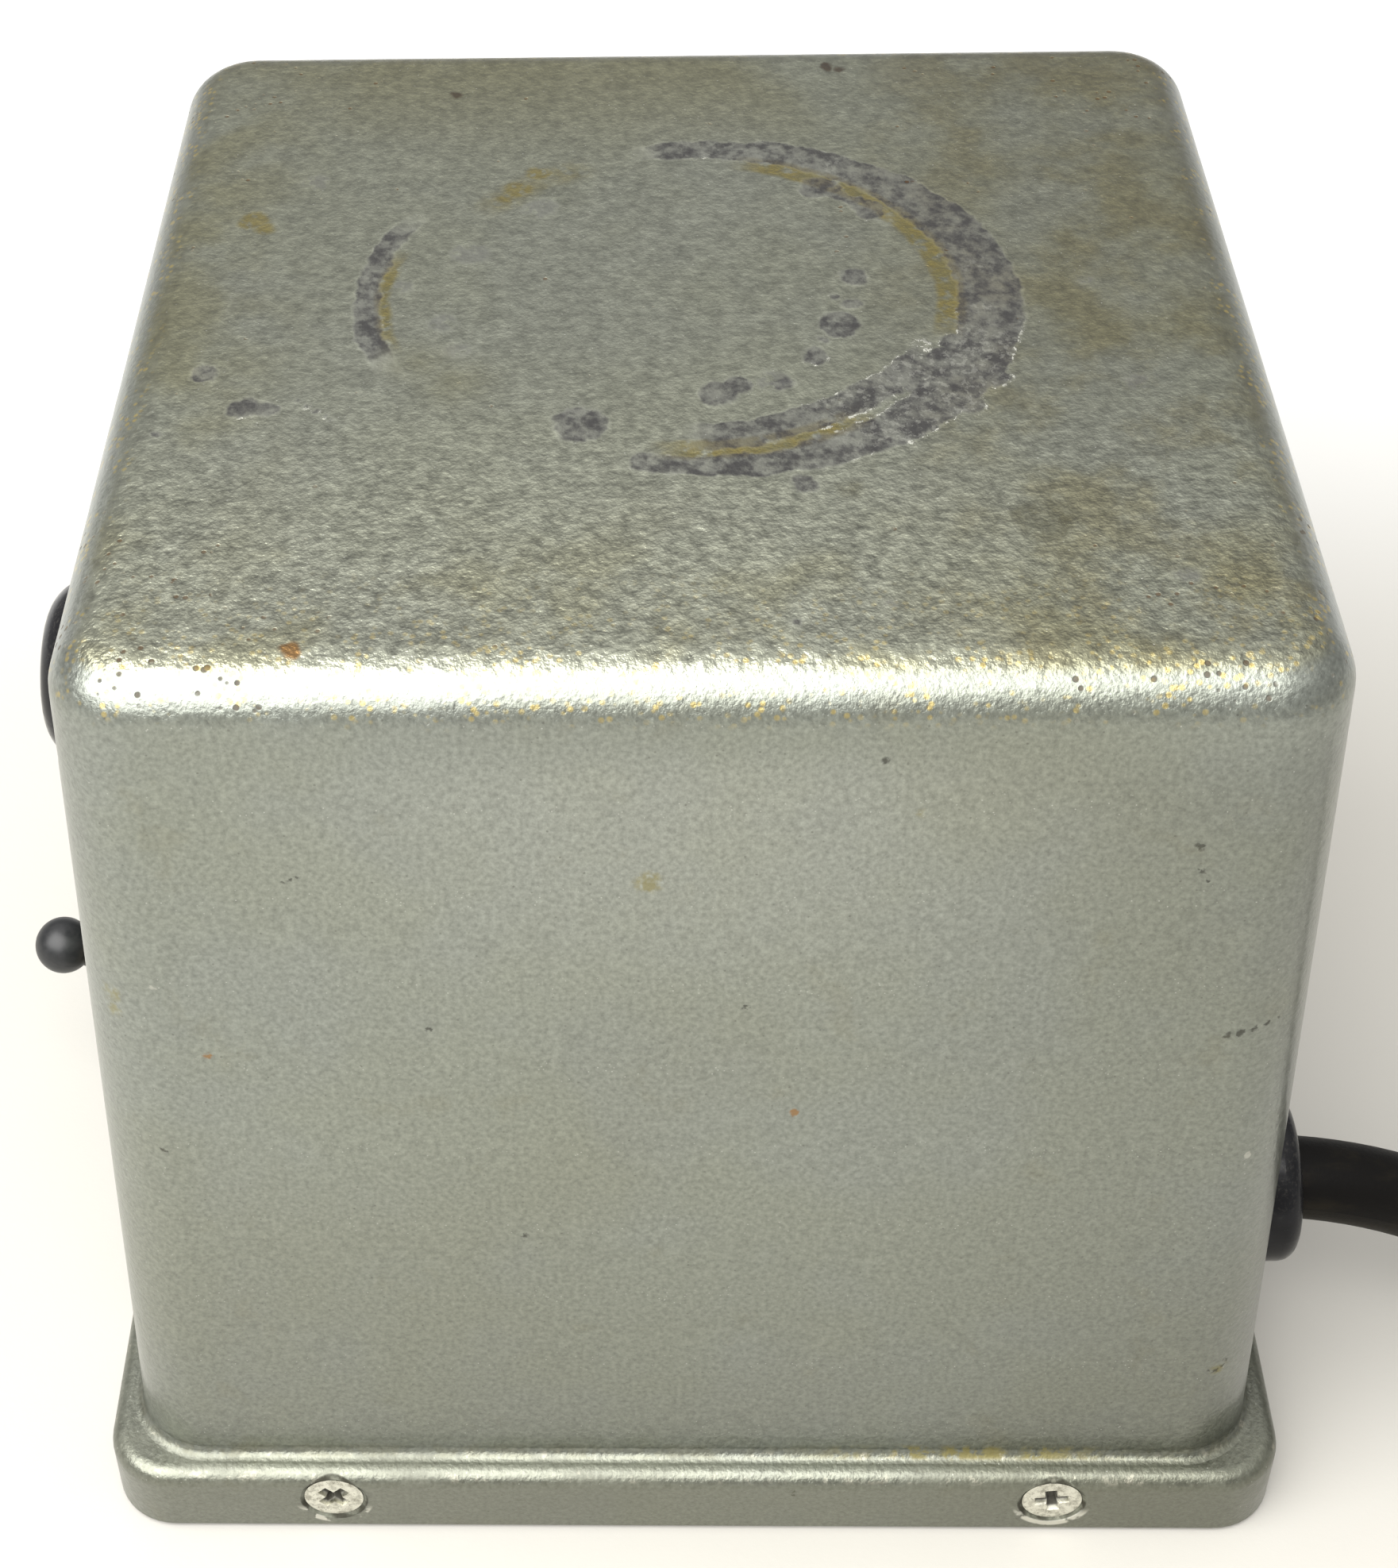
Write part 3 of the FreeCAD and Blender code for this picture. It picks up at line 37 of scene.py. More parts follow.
HOUSE_HIGH = span("housing")[1]
TOP = HOUSE_HIGH.z
FACE = HOUSE_HIGH.x
SCREW_LOW, SCREW_HIGH = span("lip_screws")
SCREW_LEVEL = (SCREW_LOW.z + SCREW_HIGH.z) / 2
SCREW_HEAD = (SCREW_HIGH.z - SCREW_LOW.z) / 2
SCREW_ALONG = 0.61 * FACE  # how far each lip screw stands from the middle of its side
LIP_TOP = 9.8
LEVER_LOW, LEVER_HIGH = span("toggle_lever")
BALL_RADIUS = (LEVER_HIGH.x - LEVER_LOW.x) / 2
BALL = Vector((0, LEVER_LOW.y + BALL_RADIUS, LEVER_HIGH.z - BALL_RADIUS))


# ---------------------------------------------------------------- a small language for node trees


class Look:
    """One node-based material. Lengths are millimetres in the frame of the piece."""

    def __init__(self, name):
        self.material = bpy.data.materials.new(name)
        self.material.use_nodes = True
        self.tree = self.material.node_tree
        self.tree.nodes.clear()
        self.output = self.tree.nodes.new("ShaderNodeOutputMaterial")
        self.surface = self.tree.nodes.new("ShaderNodeBsdfPrincipled")
        self.tree.links.new(self.surface.outputs[0], self.output.inputs[0])
        here = self.tree.nodes.new("ShaderNodeTexCoord").outputs["Object"]
        self.at = self.vector("SCALE", here, scale=1 / MM)
        self.x, self.y, self.z = self.split(self.at)
        self.normal = self.tree.nodes.new("ShaderNodeNewGeometry").outputs["Normal"]

    def give(self, socket, value):
        if isinstance(value, bpy.types.NodeSocket):
            self.tree.links.new(value, socket)
        elif isinstance(value, tuple) and len(value) == 3 and len(socket.default_value) == 4:
            socket.default_value = (*value, 1.0)
        else:
            socket.default_value = value

    def math(self, kind, first, second=0.0, third=0.0, clamp=False):
        node = self.tree.nodes.new("ShaderNodeMath")
        node.operation = kind
        node.use_clamp = clamp
        for socket, value in zip(node.inputs, (first, second, third)):
            self.give(socket, value)
        return node.outputs[0]

    def vector(self, kind, first, second=(0.0, 0.0, 0.0), scale=1.0):
        node = self.tree.nodes.new("ShaderNodeVectorMath")
        node.operation = kind
        self.give(node.inputs[0], first)
        self.give(node.inputs[1], second)
        node.inputs[3].default_value = scale
        if kind in ("DISTANCE", "LENGTH", "DOT_PRODUCT"):
            return node.outputs["Value"]
        return node.outputs["Vector"]

    def split(self, place):
        node = self.tree.nodes.new("ShaderNodeSeparateXYZ")
        self.give(node.inputs[0], place)
        return node.outputs[0], node.outputs[1], node.outputs[2]

    def join(self, x, y, z):
        node = self.tree.nodes.new("ShaderNodeCombineXYZ")
        for socket, value in zip(node.inputs, (x, y, z)):
            self.give(socket, value)
        return node.outputs[0]

    def noise(self, size, detail=2.0, rough=0.5, at=None, warp=0.0, colour=False):
        node = self.tree.nodes.new("ShaderNodeTexNoise")
        self.give(node.inputs["Vector"], at or self.at)
        node.inputs["Scale"].default_value = 1 / size
        node.inputs["Detail"].default_value = detail
        node.inputs["Roughness"].default_value = rough
        node.inputs["Distortion"].default_value = warp
        return node.outputs["Color" if colour else "Fac"]

    def cells(self, size, at=None, feature="F1", colour=False):
        node = self.tree.nodes.new("ShaderNodeTexVoronoi")
        node.feature = feature
        self.give(node.inputs["Vector"], at or self.at)
        node.inputs["Scale"].default_value = 1 / size
        return node.outputs["Color" if colour else "Distance"]

    def rise(self, value, low, high):
        """0 below low, 1 above high, smooth between; falls instead when high is below low."""
        node = self.tree.nodes.new("ShaderNodeMapRange")
        node.interpolation_type = "SMOOTHSTEP"
        self.give(node.inputs["Value"], value)
        self.give(node.inputs["From Min"], low)
        self.give(node.inputs["From Max"], high)
        return node.outputs[0]

    def both(self, *masks):
        total = masks[0]
        for mask in masks[1:]:
            total = self.math("MULTIPLY", total, mask)
        return total

    def either(self, *masks):
        total = masks[0]
        for mask in masks[1:]:
            total = self.math("MAXIMUM", total, mask)
        return total

    def blend(self, mask, low, high):
        """A number that goes from low to high with the mask."""
        node = self.tree.nodes.new("ShaderNodeMix")
        self.give(node.inputs[0], mask)
        self.give(node.inputs[2], low)
        self.give(node.inputs[3], high)
        return node.outputs[0]

    def tint(self, mask, under, over, kind="MIX"):
        """The colour under, with the colour over laid on it where the mask is 1."""
        node = self.tree.nodes.new("ShaderNodeMix")
        node.data_type = "RGBA"
        node.blend_type = kind
        self.give(node.inputs[0], mask)
        self.give(node.inputs[6], under)
        self.give(node.inputs[7], over)
        return node.outputs[2]

    def bump(self, height, depth, base=None):
        """Normals of a height field, its depth in millimetres."""
        node = self.tree.nodes.new("ShaderNodeBump")
        node.inputs["Distance"].default_value = depth * MM
        self.give(node.inputs["Height"], height)
        if base:
            self.give(node.inputs["Normal"], base)
        return node.outputs[0]

    def wander(self, size, reach, at=None):
        """The place, pushed about by noise, so that an outline drawn with it is uneven."""
        push = self.vector("SUBTRACT", self.noise(size, 3, at=at, colour=True), (0.5, 0.5, 0.5))
        return self.vector("ADD", at or self.at, self.vector("SCALE", push, scale=reach))

    def finish(self, colour, rough, metal=0.0, normal=None, **more):
        self.give(self.surface.inputs["Base Color"], colour)
        self.give(self.surface.inputs["Roughness"], rough)
        self.give(self.surface.inputs["Metallic"], metal)
        if normal:
            self.give(self.surface.inputs["Normal"], normal)
        for name, value in more.items():
            self.give(self.surface.inputs[name.replace("_", " ")], value)
        return self.material


# ---------------------------------------------------------------- the housing's paint

PAINT = (0.238, 0.253, 0.214)
PAINT_COOL = (0.238, 0.254, 0.226)
PAINT_OLIVE = (0.190, 0.182, 0.105)
PAINT_BROWN = (0.168, 0.146, 0.070)
MUSTARD = (0.160, 0.135, 0.035)
ETCHED = (0.026, 0.025, 0.026)
ETCHED_PALE = (0.049, 0.048, 0.049)
OCHRE = (0.215, 0.172, 0.042)
LIME = (0.400, 0.400, 0.355)
RUST = (0.040, 0.019, 0.006)
AMBER = (0.200, 0.090, 0.012)
GRIME = (0.020, 0.018, 0.011)
BARE_METAL = (0.600, 0.590, 0.520)
PAINTED_SHADE = (0.020, 0.020, 0.015)
PAINTED_SHADE_WARM = (0.020, 0.020, 0.010)
PAINTED_TOP_LIGHT = (0.430, 0.440, 0.350)
PAINTED_SIDE_LIGHT = (0.420, 0.430, 0.385)
PAINTED_FLAKE_GLINT = (0.620, 0.630, 0.580)
PINHOLE = (0.055, 0.052, 0.040)
PAINTED_SPARKLE = (0.520, 0.400, 0.120)
OCHRE_DULL = (0.165, 0.145, 0.055)
OLIVE_DARK = (0.080, 0.070, 0.028)
RUBBED_EDGE = (0.420, 0.400, 0.320)
WHITE = (1.0, 1.0, 1.0)
DOUBLE = (2.0, 2.0, 2.0)


def ring_band(look, place, inner, outer, soft=0.35):
    """Between two circles given as (right, near, radius); the place has its right in y and its near in x."""
    def outside(circle, edge):
        right, near, radius = circle
        away = look.vector("DISTANCE", place, (near, right, 0.0))
        return look.rise(away, radius - edge, radius + edge)
    return look.both(outside(inner, soft), look.math("SUBTRACT", 1.0, outside(outer, soft)))


def arc(look, place, centre, middle, half, soft=6.0):
    """1 within half degrees of the middle direction, seen from the centre; 0 degrees is right, 90 is far."""
    right, near = centre
    turn = math.radians(middle)
    way = (-math.sin(turn), math.cos(turn), 0.0)
    out = look.vector("NORMALIZE", look.vector("SUBTRACT", place, (near, right, 0.0)))
    facing = look.vector("DOT_PRODUCT", out, way)
    wide = math.cos(math.radians(half + soft))
    tight = math.cos(math.radians(max(half - soft, 0.0)))
    return look.rise(facing, wide, tight)


def spots(look, place, marks, soft=0.3):
    """1 inside any of the round marks, each (right, near, radius)."""
    nearest = None
    for right, near, radius in marks:
        away = look.vector("DISTANCE", place, (near, right, 0.0))
        inside = look.math("SUBTRACT", away, radius)
        nearest = inside if nearest is None else look.math("MINIMUM", nearest, inside)
    return look.rise(nearest, soft, -soft)


def flat(look, place):
    """The place with its height left out."""
    return look.vector("MULTIPLY", place, (1.0, 1.0, 0.0))


# where vessels stood: the middle as (right, near), then circles as (right, near, radius)
VESSEL = (0.0, -3.0)
RIGHT_BAND = ((0.0, -3.0, 28.0), (3.0, -3.0, 31.8))
LEFT_BAND = ((-3.5, -3.0, 28.9), (-3.5, -3.0, 31.8))
NEAR_BAND = ((0.0, -6.0, 25.6), (0.0, -3.2, 27.4))
FAR_BAND = ((0.0, -3.0, 25.0), (0.0, -3.0, 27.4))
TIDE_LINE = ((0.0, -3.0, 25.9), (0.0, -3.0, 28.9))
LEFT_TIDE_LINE = ((-3.5, -3.0, 27.9), (-3.5, -3.0, 29.4))
FADED_LINE = ((0.0, -3.0, 26.5), (0.0, -3.0, 30.0))
CRUSTED_BAND = ((0.0, -3.0, 21.0), (3.0, -3.0, 34.0))
TIDE_ARCS = ((31.0, 44.0), (-74.0, 20.0))

# round marks on the top, each (right, near, radius)
SPLASHES = [
    (-11.2, 20.0, 3.0),
    (2.6, 14.8, 2.1),
    (4.6, 13.2, 1.6),
    (15.6, 2.6, 2.3),
    (16.8, -1.2, 1.2),
    (17.5, -6.0, 1.7),
    (14.9, -2.6, 0.6),
    (12.6, 8.3, 1.4),
    (9.6, 13.0, 1.2),
    (13.5, 5.6, 0.8),
    (22.2, 13.4, 1.5),
    (23.8, 11.0, 1.7),
    (25.2, 8.6, 1.8),
    (26.4, 6.0, 1.6),
    (30.6, 12.6, 1.6),
    (27.6, 17.2, 1.6),
    (10.6, 29.8, 1.3),
    (-39.5, 15.4, 0.30),
    (-38.4, 16.3, 0.35),
    (-37.3, 17.2, 0.40),
    (-36.2, 18.1, 0.32),
    (-35.3, 18.9, 0.22),
    (20.0, -19.5, 2.0),
    (14.5, -24.5, 2.2),
    (-4.5, 26.4, 1.9),
    (-49.6, 10.8, 1.5),
    (-44.6, 16.9, 1.8),
    (-42.6, 16.9, 1.2),
    (-52.7, 21.1, 0.6),
    (8.8, 50.2, 0.6),
]
FAINT_SPLASHES = [
    (-30.0, -5.2, 1.2),
    (-25.4, 1.8, 1.6),
    (-23.8, 7.0, 1.5),
    (-23.4, -11.5, 2.1),
    (-16.2, -20.5, 2.0),
    (41.5, -5.4, 0.9),
    (44.4, 13.2, 1.2),
    (44.8, 44.0, 1.1),
    (17.5, 48.0, 0.7),
    (3.0, 51.6, 0.6),
    (-41.2, -26.7, 1.8),
    (8.5, 12.5, 1.8),
]
OCHRE_PATCHES = [
    (-47.5, -18.5, 1.6),
    (-46.0, -16.8, 1.1),
    (-16.5, -28.0, 1.3),
    (-18.6, -24.5, 1.6),
    (-20.0, -22.5, 0.9),
]
OLIVE_PATCHES = [
    (32.5, 35.5, 3.0),
    (15.0, 30.8, 1.3),
]
RUST_PATCHES = [
    (17.0, -51.7, 0.8),
    (18.4, -51.2, 0.5),
    (-26.8, -46.0, 0.7),
]
# x squared times y squared, where the pits begin to crowd and where they are thickest
CORNER_PRODUCT = (5.0e5, 5.0e6)
AMBER_PATCHES = [(-36.3, 54.0, 0.9)]
OLIVE_HAZE = [(-23.5, 12.5, 2.0), (-27.5, 9.0, 1.5)]


def ring_stains(look):
    """What wet vessels left on the top plate: etched grey bands, ochre tide lines and lime."""
    place = flat(look, look.wander(5.0, 2.4, look.wander(1.2, 1.1)))
    calm = flat(look, look.wander(3.0, 1.1))
    right_band = look.both(
        ring_band(look, place, *RIGHT_BAND),
        arc(look, place, VESSEL, 0.0, 100.0),
    )
    left_band = look.both(
        ring_band(look, place, *LEFT_BAND),
        arc(look, place, VESSEL, 178.0, 24.0),
    )
    near_band = look.both(
        ring_band(look, place, *NEAR_BAND),
        arc(look, place, VESSEL, -56.0, 33.0),
    )
    far_band = look.both(
        ring_band(look, place, *FAR_BAND),
        arc(look, place, VESSEL, 48.0, 13.0),
        look.rise(look.noise(3.0), 0.42, 0.52),
    )
    tide_lines = [
        look.both(ring_band(look, calm, *TIDE_LINE, 0.4), arc(look, calm, VESSEL, middle, half))
        for middle, half in TIDE_ARCS
    ]
    left_ochre = look.both(
        ring_band(look, calm, *LEFT_TIDE_LINE, 0.4),
        arc(look, calm, VESSEL, 181.0, 13.0),
    )
    faded = look.both(
        ring_band(look, calm, *FADED_LINE, 1.2),
        arc(look, calm, VESSEL, 128.0, 12.0),
        look.math("MULTIPLY", look.noise(4.0), 0.9),
    )
    bands = look.either(right_band, left_band, near_band, far_band, spots(look, place, SPLASHES, 0.4))
    faint = spots(look, place, FAINT_SPLASHES, 0.5)
    return bands, faint, look.either(*tide_lines, left_ochre, faded)


def top_mask(look):
    return look.rise(look.z, TOP - 1.2, TOP - 0.3)


def paint_look():
    look = Look("hammer_paint_worn")
    top = top_mask(look)
    up = look.split(look.normal)[2]
    edge = look.both(look.rise(up, 0.12, 0.45), look.rise(up, 0.998, 0.93))
    crown = look.both(edge, look.rise(look.z, TOP - 9, TOP - 7))

    # the mottle of the sprayed metal flake, coarser where the paint lay flat
    coarse = look.noise(1.25, 3, 0.58)
    fine = look.noise(0.55, 3, 0.6)
    mottle = look.blend(top, fine, coarse)
    clouds = look.noise(26.0, 3, 0.55)
    drift = look.noise(60.0, 2)
    colour = look.tint(look.rise(clouds, 0.40, 0.62), PAINT, PAINT_COOL)

    # the film has gone yellow with handling and heat
    aged_top = look.either(
        look.both(look.rise(look.y, 12.0, 46.0), look.rise(look.noise(22.0, 4), 0.36, 0.60)),
        look.both(look.rise(look.y, -34.0, -58.0), look.rise(look.noise(15.0, 4), 0.42, 0.62)),
        look.both(look.rise(look.x, 26.0, 50.0), look.rise(look.noise(12.0, 4), 0.46, 0.64)),
        look.both(look.rise(look.x, -26.0, -56.0), look.rise(look.noise(30.0, 4), 0.38, 0.60)),
    )
    colour = look.tint(look.both(top, 0.30), colour, PAINT_OLIVE)
    colour = look.tint(look.both(top, aged_top, 0.78), colour, PAINT_OLIVE)
    brown = look.both(top, look.rise(look.y, 12.0, 34.0), look.rise(look.noise(11.0, 5, 0.65), 0.46, 0.62))
    colour = look.tint(look.both(brown, 0.36), colour, PAINT_BROWN)
    side_age = look.both(look.math("SUBTRACT", 1.0, top), look.rise(drift, 0.44, 0.62))
    colour = look.tint(look.both(side_age, 0.14), colour, PAINT_OLIVE)

    # painted shade on the walls low down, towards the cable and along the lip, and painted light in a brighter
    # band below the crown
    below_crown = look.rise(look.z, TOP - 5.0, TOP - 12.0)
    painted_low_shade = look.both(below_crown, look.rise(look.z, 70.0, 8.0), 0.16)
    painted_far_shade = look.both(below_crown, look.rise(look.y, 8.0, 60.0), 0.16)
    painted_lip_shade = look.both(look.rise(look.z, LIP_TOP + 1.5, LIP_TOP), 0.16)
    painted_shade_sum = look.math("ADD", painted_low_shade, look.math("ADD", painted_far_shade, painted_lip_shade))
    colour = look.tint(painted_shade_sum, colour, PAINTED_SHADE)
    # painted shade: the top darker towards the far right
    painted_right_shade = look.both(top, look.rise(look.y, 2.0, 42.0), look.rise(look.x, 40.0, 10.0), 0.15)
    colour = look.tint(painted_right_shade, colour, PAINTED_SHADE_WARM)
    # painted light: the near, left part of the top brighter
    painted_near_light = look.both(top, look.rise(look.x, 0.0, 46.0), look.rise(look.y, 52.0, 0.0))
    colour = look.tint(look.both(painted_near_light, 0.26), colour, PAINTED_TOP_LIGHT)
    # painted highlight: a brighter band on the walls below the crown, strongest mid-wall
    painted_side_light = look.both(
        below_crown,
        look.rise(look.z, TOP - 50.0, TOP - 14.0),
        look.rise(look.math("ABSOLUTE", look.y), 50.0, 5.0),
    )
    colour = look.tint(look.both(painted_side_light, 0.22), colour, PAINTED_SIDE_LIGHT)

    # light and dark of the mottle itself
    toward_front = look.rise(look.x, 6.0, 46.0)
    contrast = look.blend(top, 0.55, look.blend(toward_front, 0.62, 0.95))
    shade = look.math("MULTIPLY_ADD", look.math("SUBTRACT", mottle, 0.5), contrast, 0.5)
    grey = look.tint(1.0, WHITE, look.join(shade, shade, shade))
    colour = look.tint(1.0, look.tint(1.0, colour, DOUBLE, "MULTIPLY"), grey, "MULTIPLY")

    # single flakes of aluminium, painted brighter as glints, and dark pinholes between them
    flake = look.split(look.cells(0.42, colour=True))[0]
    speckle = look.split(look.cells(0.55, colour=True))[1]
    bright = look.both(look.rise(flake, 0.90, 0.99), look.rise(look.cells(0.42), 0.24, 0.08))
    colour = look.tint(look.both(bright, 0.55), colour, PAINTED_FLAKE_GLINT)
    pinhole = look.both(look.rise(speckle, 0.92, 0.99), look.rise(look.cells(0.55), 0.30, 0.10))
    colour = look.tint(look.both(pinhole, 0.45), colour, PINHOLE)

    # painted sparkle: yellow specks along the crown and the front of the top, where the highlight runs
    painted_sparkle = look.both(
        look.rise(look.cells(0.9), 0.42, 0.20),
        look.rise(look.noise(3.5, 3), 0.44, 0.58),
        look.either(crown, look.both(top, look.rise(look.x, 40.0, 56.0), 0.6)),
    )
    colour = look.tint(look.both(painted_sparkle, 0.65), colour, PAINTED_SPARKLE)

    # stains on the top
    bands, faint, ochre = ring_stains(look)
    bands = look.both(bands, top)
    faint = look.both(faint, top, look.rise(look.noise(1.3, 3), 0.36, 0.50))
    ochre = look.both(ochre, top, look.rise(look.noise(1.6, 3), 0.30, 0.50))
    patchy = look.rise(look.noise(1.7, 4, 0.65), 0.34, 0.66)
    etched = look.tint(patchy, ETCHED, ETCHED_PALE)
    colour = look.tint(look.both(ochre, 0.88), colour, look.tint(patchy, OCHRE, OCHRE_DULL))
    colour = look.tint(look.both(faint, 0.65), colour, ETCHED_PALE)
    colour = look.tint(look.both(bands, look.blend(patchy, 0.97, 0.72)), colour, etched)

    # lime left in crumbs along the stains
    fringe = look.both(look.rise(bands, 0.02, 0.35), look.rise(bands, 1.0, 0.70))
    crusted = look.either(
        look.both(
            ring_band(look, flat(look, look.at), *CRUSTED_BAND, 2.0),
            arc(look, flat(look, look.at), VESSEL, -36.0, 24.0),
        ),
        look.rise(look.noise(6.0, 2), 0.58, 0.70),
    )
    crumbs = look.both(
        look.either(look.both(fringe, crusted), look.both(bands, look.blend(crusted, 0.0, 0.14))),
        look.rise(look.noise(0.8, 3, 0.7), 0.53, 0.60),
    )
    colour = look.tint(look.both(crumbs, 0.9), colour, LIME)

    # splashes that dried brown away from the ring
    loose = flat(look, look.wander(2.2, 1.8))
    olive_patch = look.both(top, spots(look, loose, OLIVE_PATCHES, 0.8))
    colour = look.tint(look.both(olive_patch, look.noise(1.4, 3), 0.75), colour, OLIVE_DARK)
    haze = look.both(top, spots(look, loose, OLIVE_HAZE, 4.5))
    colour = look.tint(look.both(haze, 0.6), colour, PAINT_OLIVE)
    uneven = look.rise(look.noise(1.1, 3), 0.30, 0.50)
    ochre_patch = look.both(top, spots(look, loose, OCHRE_PATCHES, 0.5), uneven)
    colour = look.tint(look.both(ochre_patch, 0.75), colour, OCHRE)
    rust_patch = look.both(top, spots(look, loose, RUST_PATCHES, 0.3))
    colour = look.tint(look.both(rust_patch, 0.8), colour, RUST)
    crest = look.rise(look.z, TOP - 3.0, TOP - 2.0)
    amber_patch = look.both(crest, spots(look, loose, AMBER_PATCHES, 0.3))
    colour = look.tint(look.both(amber_patch, 0.85), colour, AMBER)

    # rust pits, thickest near the crown's corners
    across = look.math("MULTIPLY", look.x, look.x)
    along = look.math("MULTIPLY", look.y, look.y)
    corner = look.rise(look.math("MULTIPLY", across, along), *CORNER_PRODUCT)
    pit_size = look.rise(look.cells(1.3), 0.26, 0.16)
    sparse = look.blend(corner, 0.66, 0.50)
    dense = look.blend(corner, 0.70, 0.56)
    pit_field = look.rise(look.noise(5.0, 3), sparse, dense)
    pits = look.both(pit_size, pit_field, look.either(top, look.both(crown, 0.8)))
    colour = look.tint(look.both(pits, 0.85), colour, RUST)

    colour, marks = side_marks(look, colour)
    colour, dirt, chips = lip_wear(look, colour, up)

    dull = look.either(bands, look.both(faint, 0.6), pits, dirt, look.both(marks, 0.6))
    rough = look.blend(dull, look.math("MULTIPLY_ADD", fine, 0.14, 0.27), 0.72)
    metal = look.blend(dull, 0.88, 0.0)
    metal = look.blend(chips, metal, 1.0)

    depth = look.blend(top, 0.25, look.blend(toward_front, 0.8, 1.7))
    relief = look.math("MULTIPLY_ADD", coarse, depth, look.math("MULTIPLY", fine, 0.35))
    skin = look.bump(relief, 0.22)
    crust = look.math("SUBTRACT", crumbs, look.math("MULTIPLY", pits, 0.8))
    crust = look.math("MULTIPLY_ADD", bands, look.math("MULTIPLY", patchy, 0.5), crust)
    normal = look.bump(crust, 0.10, skin)
    coat = look.blend(dull, 0.35, 0.0)
    shine = look.blend(dull, 0.50, 0.18)
    return look.finish(
        colour, rough, metal, normal, Coat_Weight=coat, Coat_Roughness=0.16, Specular_IOR_Level=shine
    )


# round marks on the side, each (along, height, radius)
SIDE_GRIME = [
    (16.7, 113.1, 0.35),
    (45.9, 102.6, 0.45),
    (51.4, 77.9, 0.35),
    (52.6, 78.2, 0.50),
    (54.0, 78.6, 0.35),
    (55.3, 78.9, 0.30),
    (56.4, 79.1, 0.20),
    (56.2, 25.0, 0.20),
    (57.0, 24.7, 0.28),
    (57.8, 25.1, 0.25),
    (58.1, 25.9, 0.18),
    (-38.6, 98.4, 0.16),
    (-37.9, 98.7, 0.18),
    (-37.2, 99.0, 0.14),
    (46.3, 99.6, 0.22),
    (47.1, 98.4, 0.25),
    (11.5, 7.6, 0.22),
    (11.5, 7.0, 0.22),
    (4.8, 81.8, 0.25),
    (-17.5, 47.8, 0.3),
    (-26.0, 78.8, 0.3),
    (-54.0, 61.0, 0.35),
]
SIDE_OLIVE = [
    (-4.5, 98.3, 1.3),
    (-57.0, 82.4, 1.0),
    (-57.1, 80.2, 0.9),
    (57.4, 25.0, 0.8),
    (20.2, 106.8, 0.35),
]
SIDE_AMBER = [(10.0, 66.8, 0.5), (-48.0, 75.0, 0.4)]
SIDE_LIME = [(-52.5, 84.5, 0.28), (55.9, 59.7, 0.4)]


def side_marks(look, colour):
    """Knocks and splashes on the wall that faces +X: (along, height, radius) spots."""
    wall = look.rise(look.split(look.normal)[0], 0.6, 0.9)
    seen = look.join(look.z, look.y, 0.0)
    push = look.vector("SUBTRACT", look.noise(0.6, 3, colour=True), (0.5, 0.5, 0.5))
    place = flat(look, look.vector("ADD", seen, look.vector("SCALE", push, scale=1.3)))
    dark = look.both(wall, spots(look, place, SIDE_GRIME, 0.15))
    olive = look.both(wall, spots(look, place, SIDE_OLIVE, 0.5))
    amber = look.both(wall, spots(look, place, SIDE_AMBER, 0.2))
    white = look.both(wall, spots(look, place, SIDE_LIME, 0.15))
    colour = look.tint(look.both(olive, look.rise(look.noise(0.9, 3), 0.3, 0.6), 0.7), colour, MUSTARD)
    colour = look.tint(look.both(dark, 0.8), colour, GRIME)
    colour = look.tint(look.both(amber, 0.8), colour, AMBER)
    colour = look.tint(look.both(white, 0.9), colour, LIME)
    rub = look.both(wall, look.rise(look.noise(9.0, 4, 0.6), 0.60, 0.72))
    colour = look.tint(look.both(rub, 0.12), colour, PAINT_BROWN)
    return colour, look.either(dark, olive, amber)


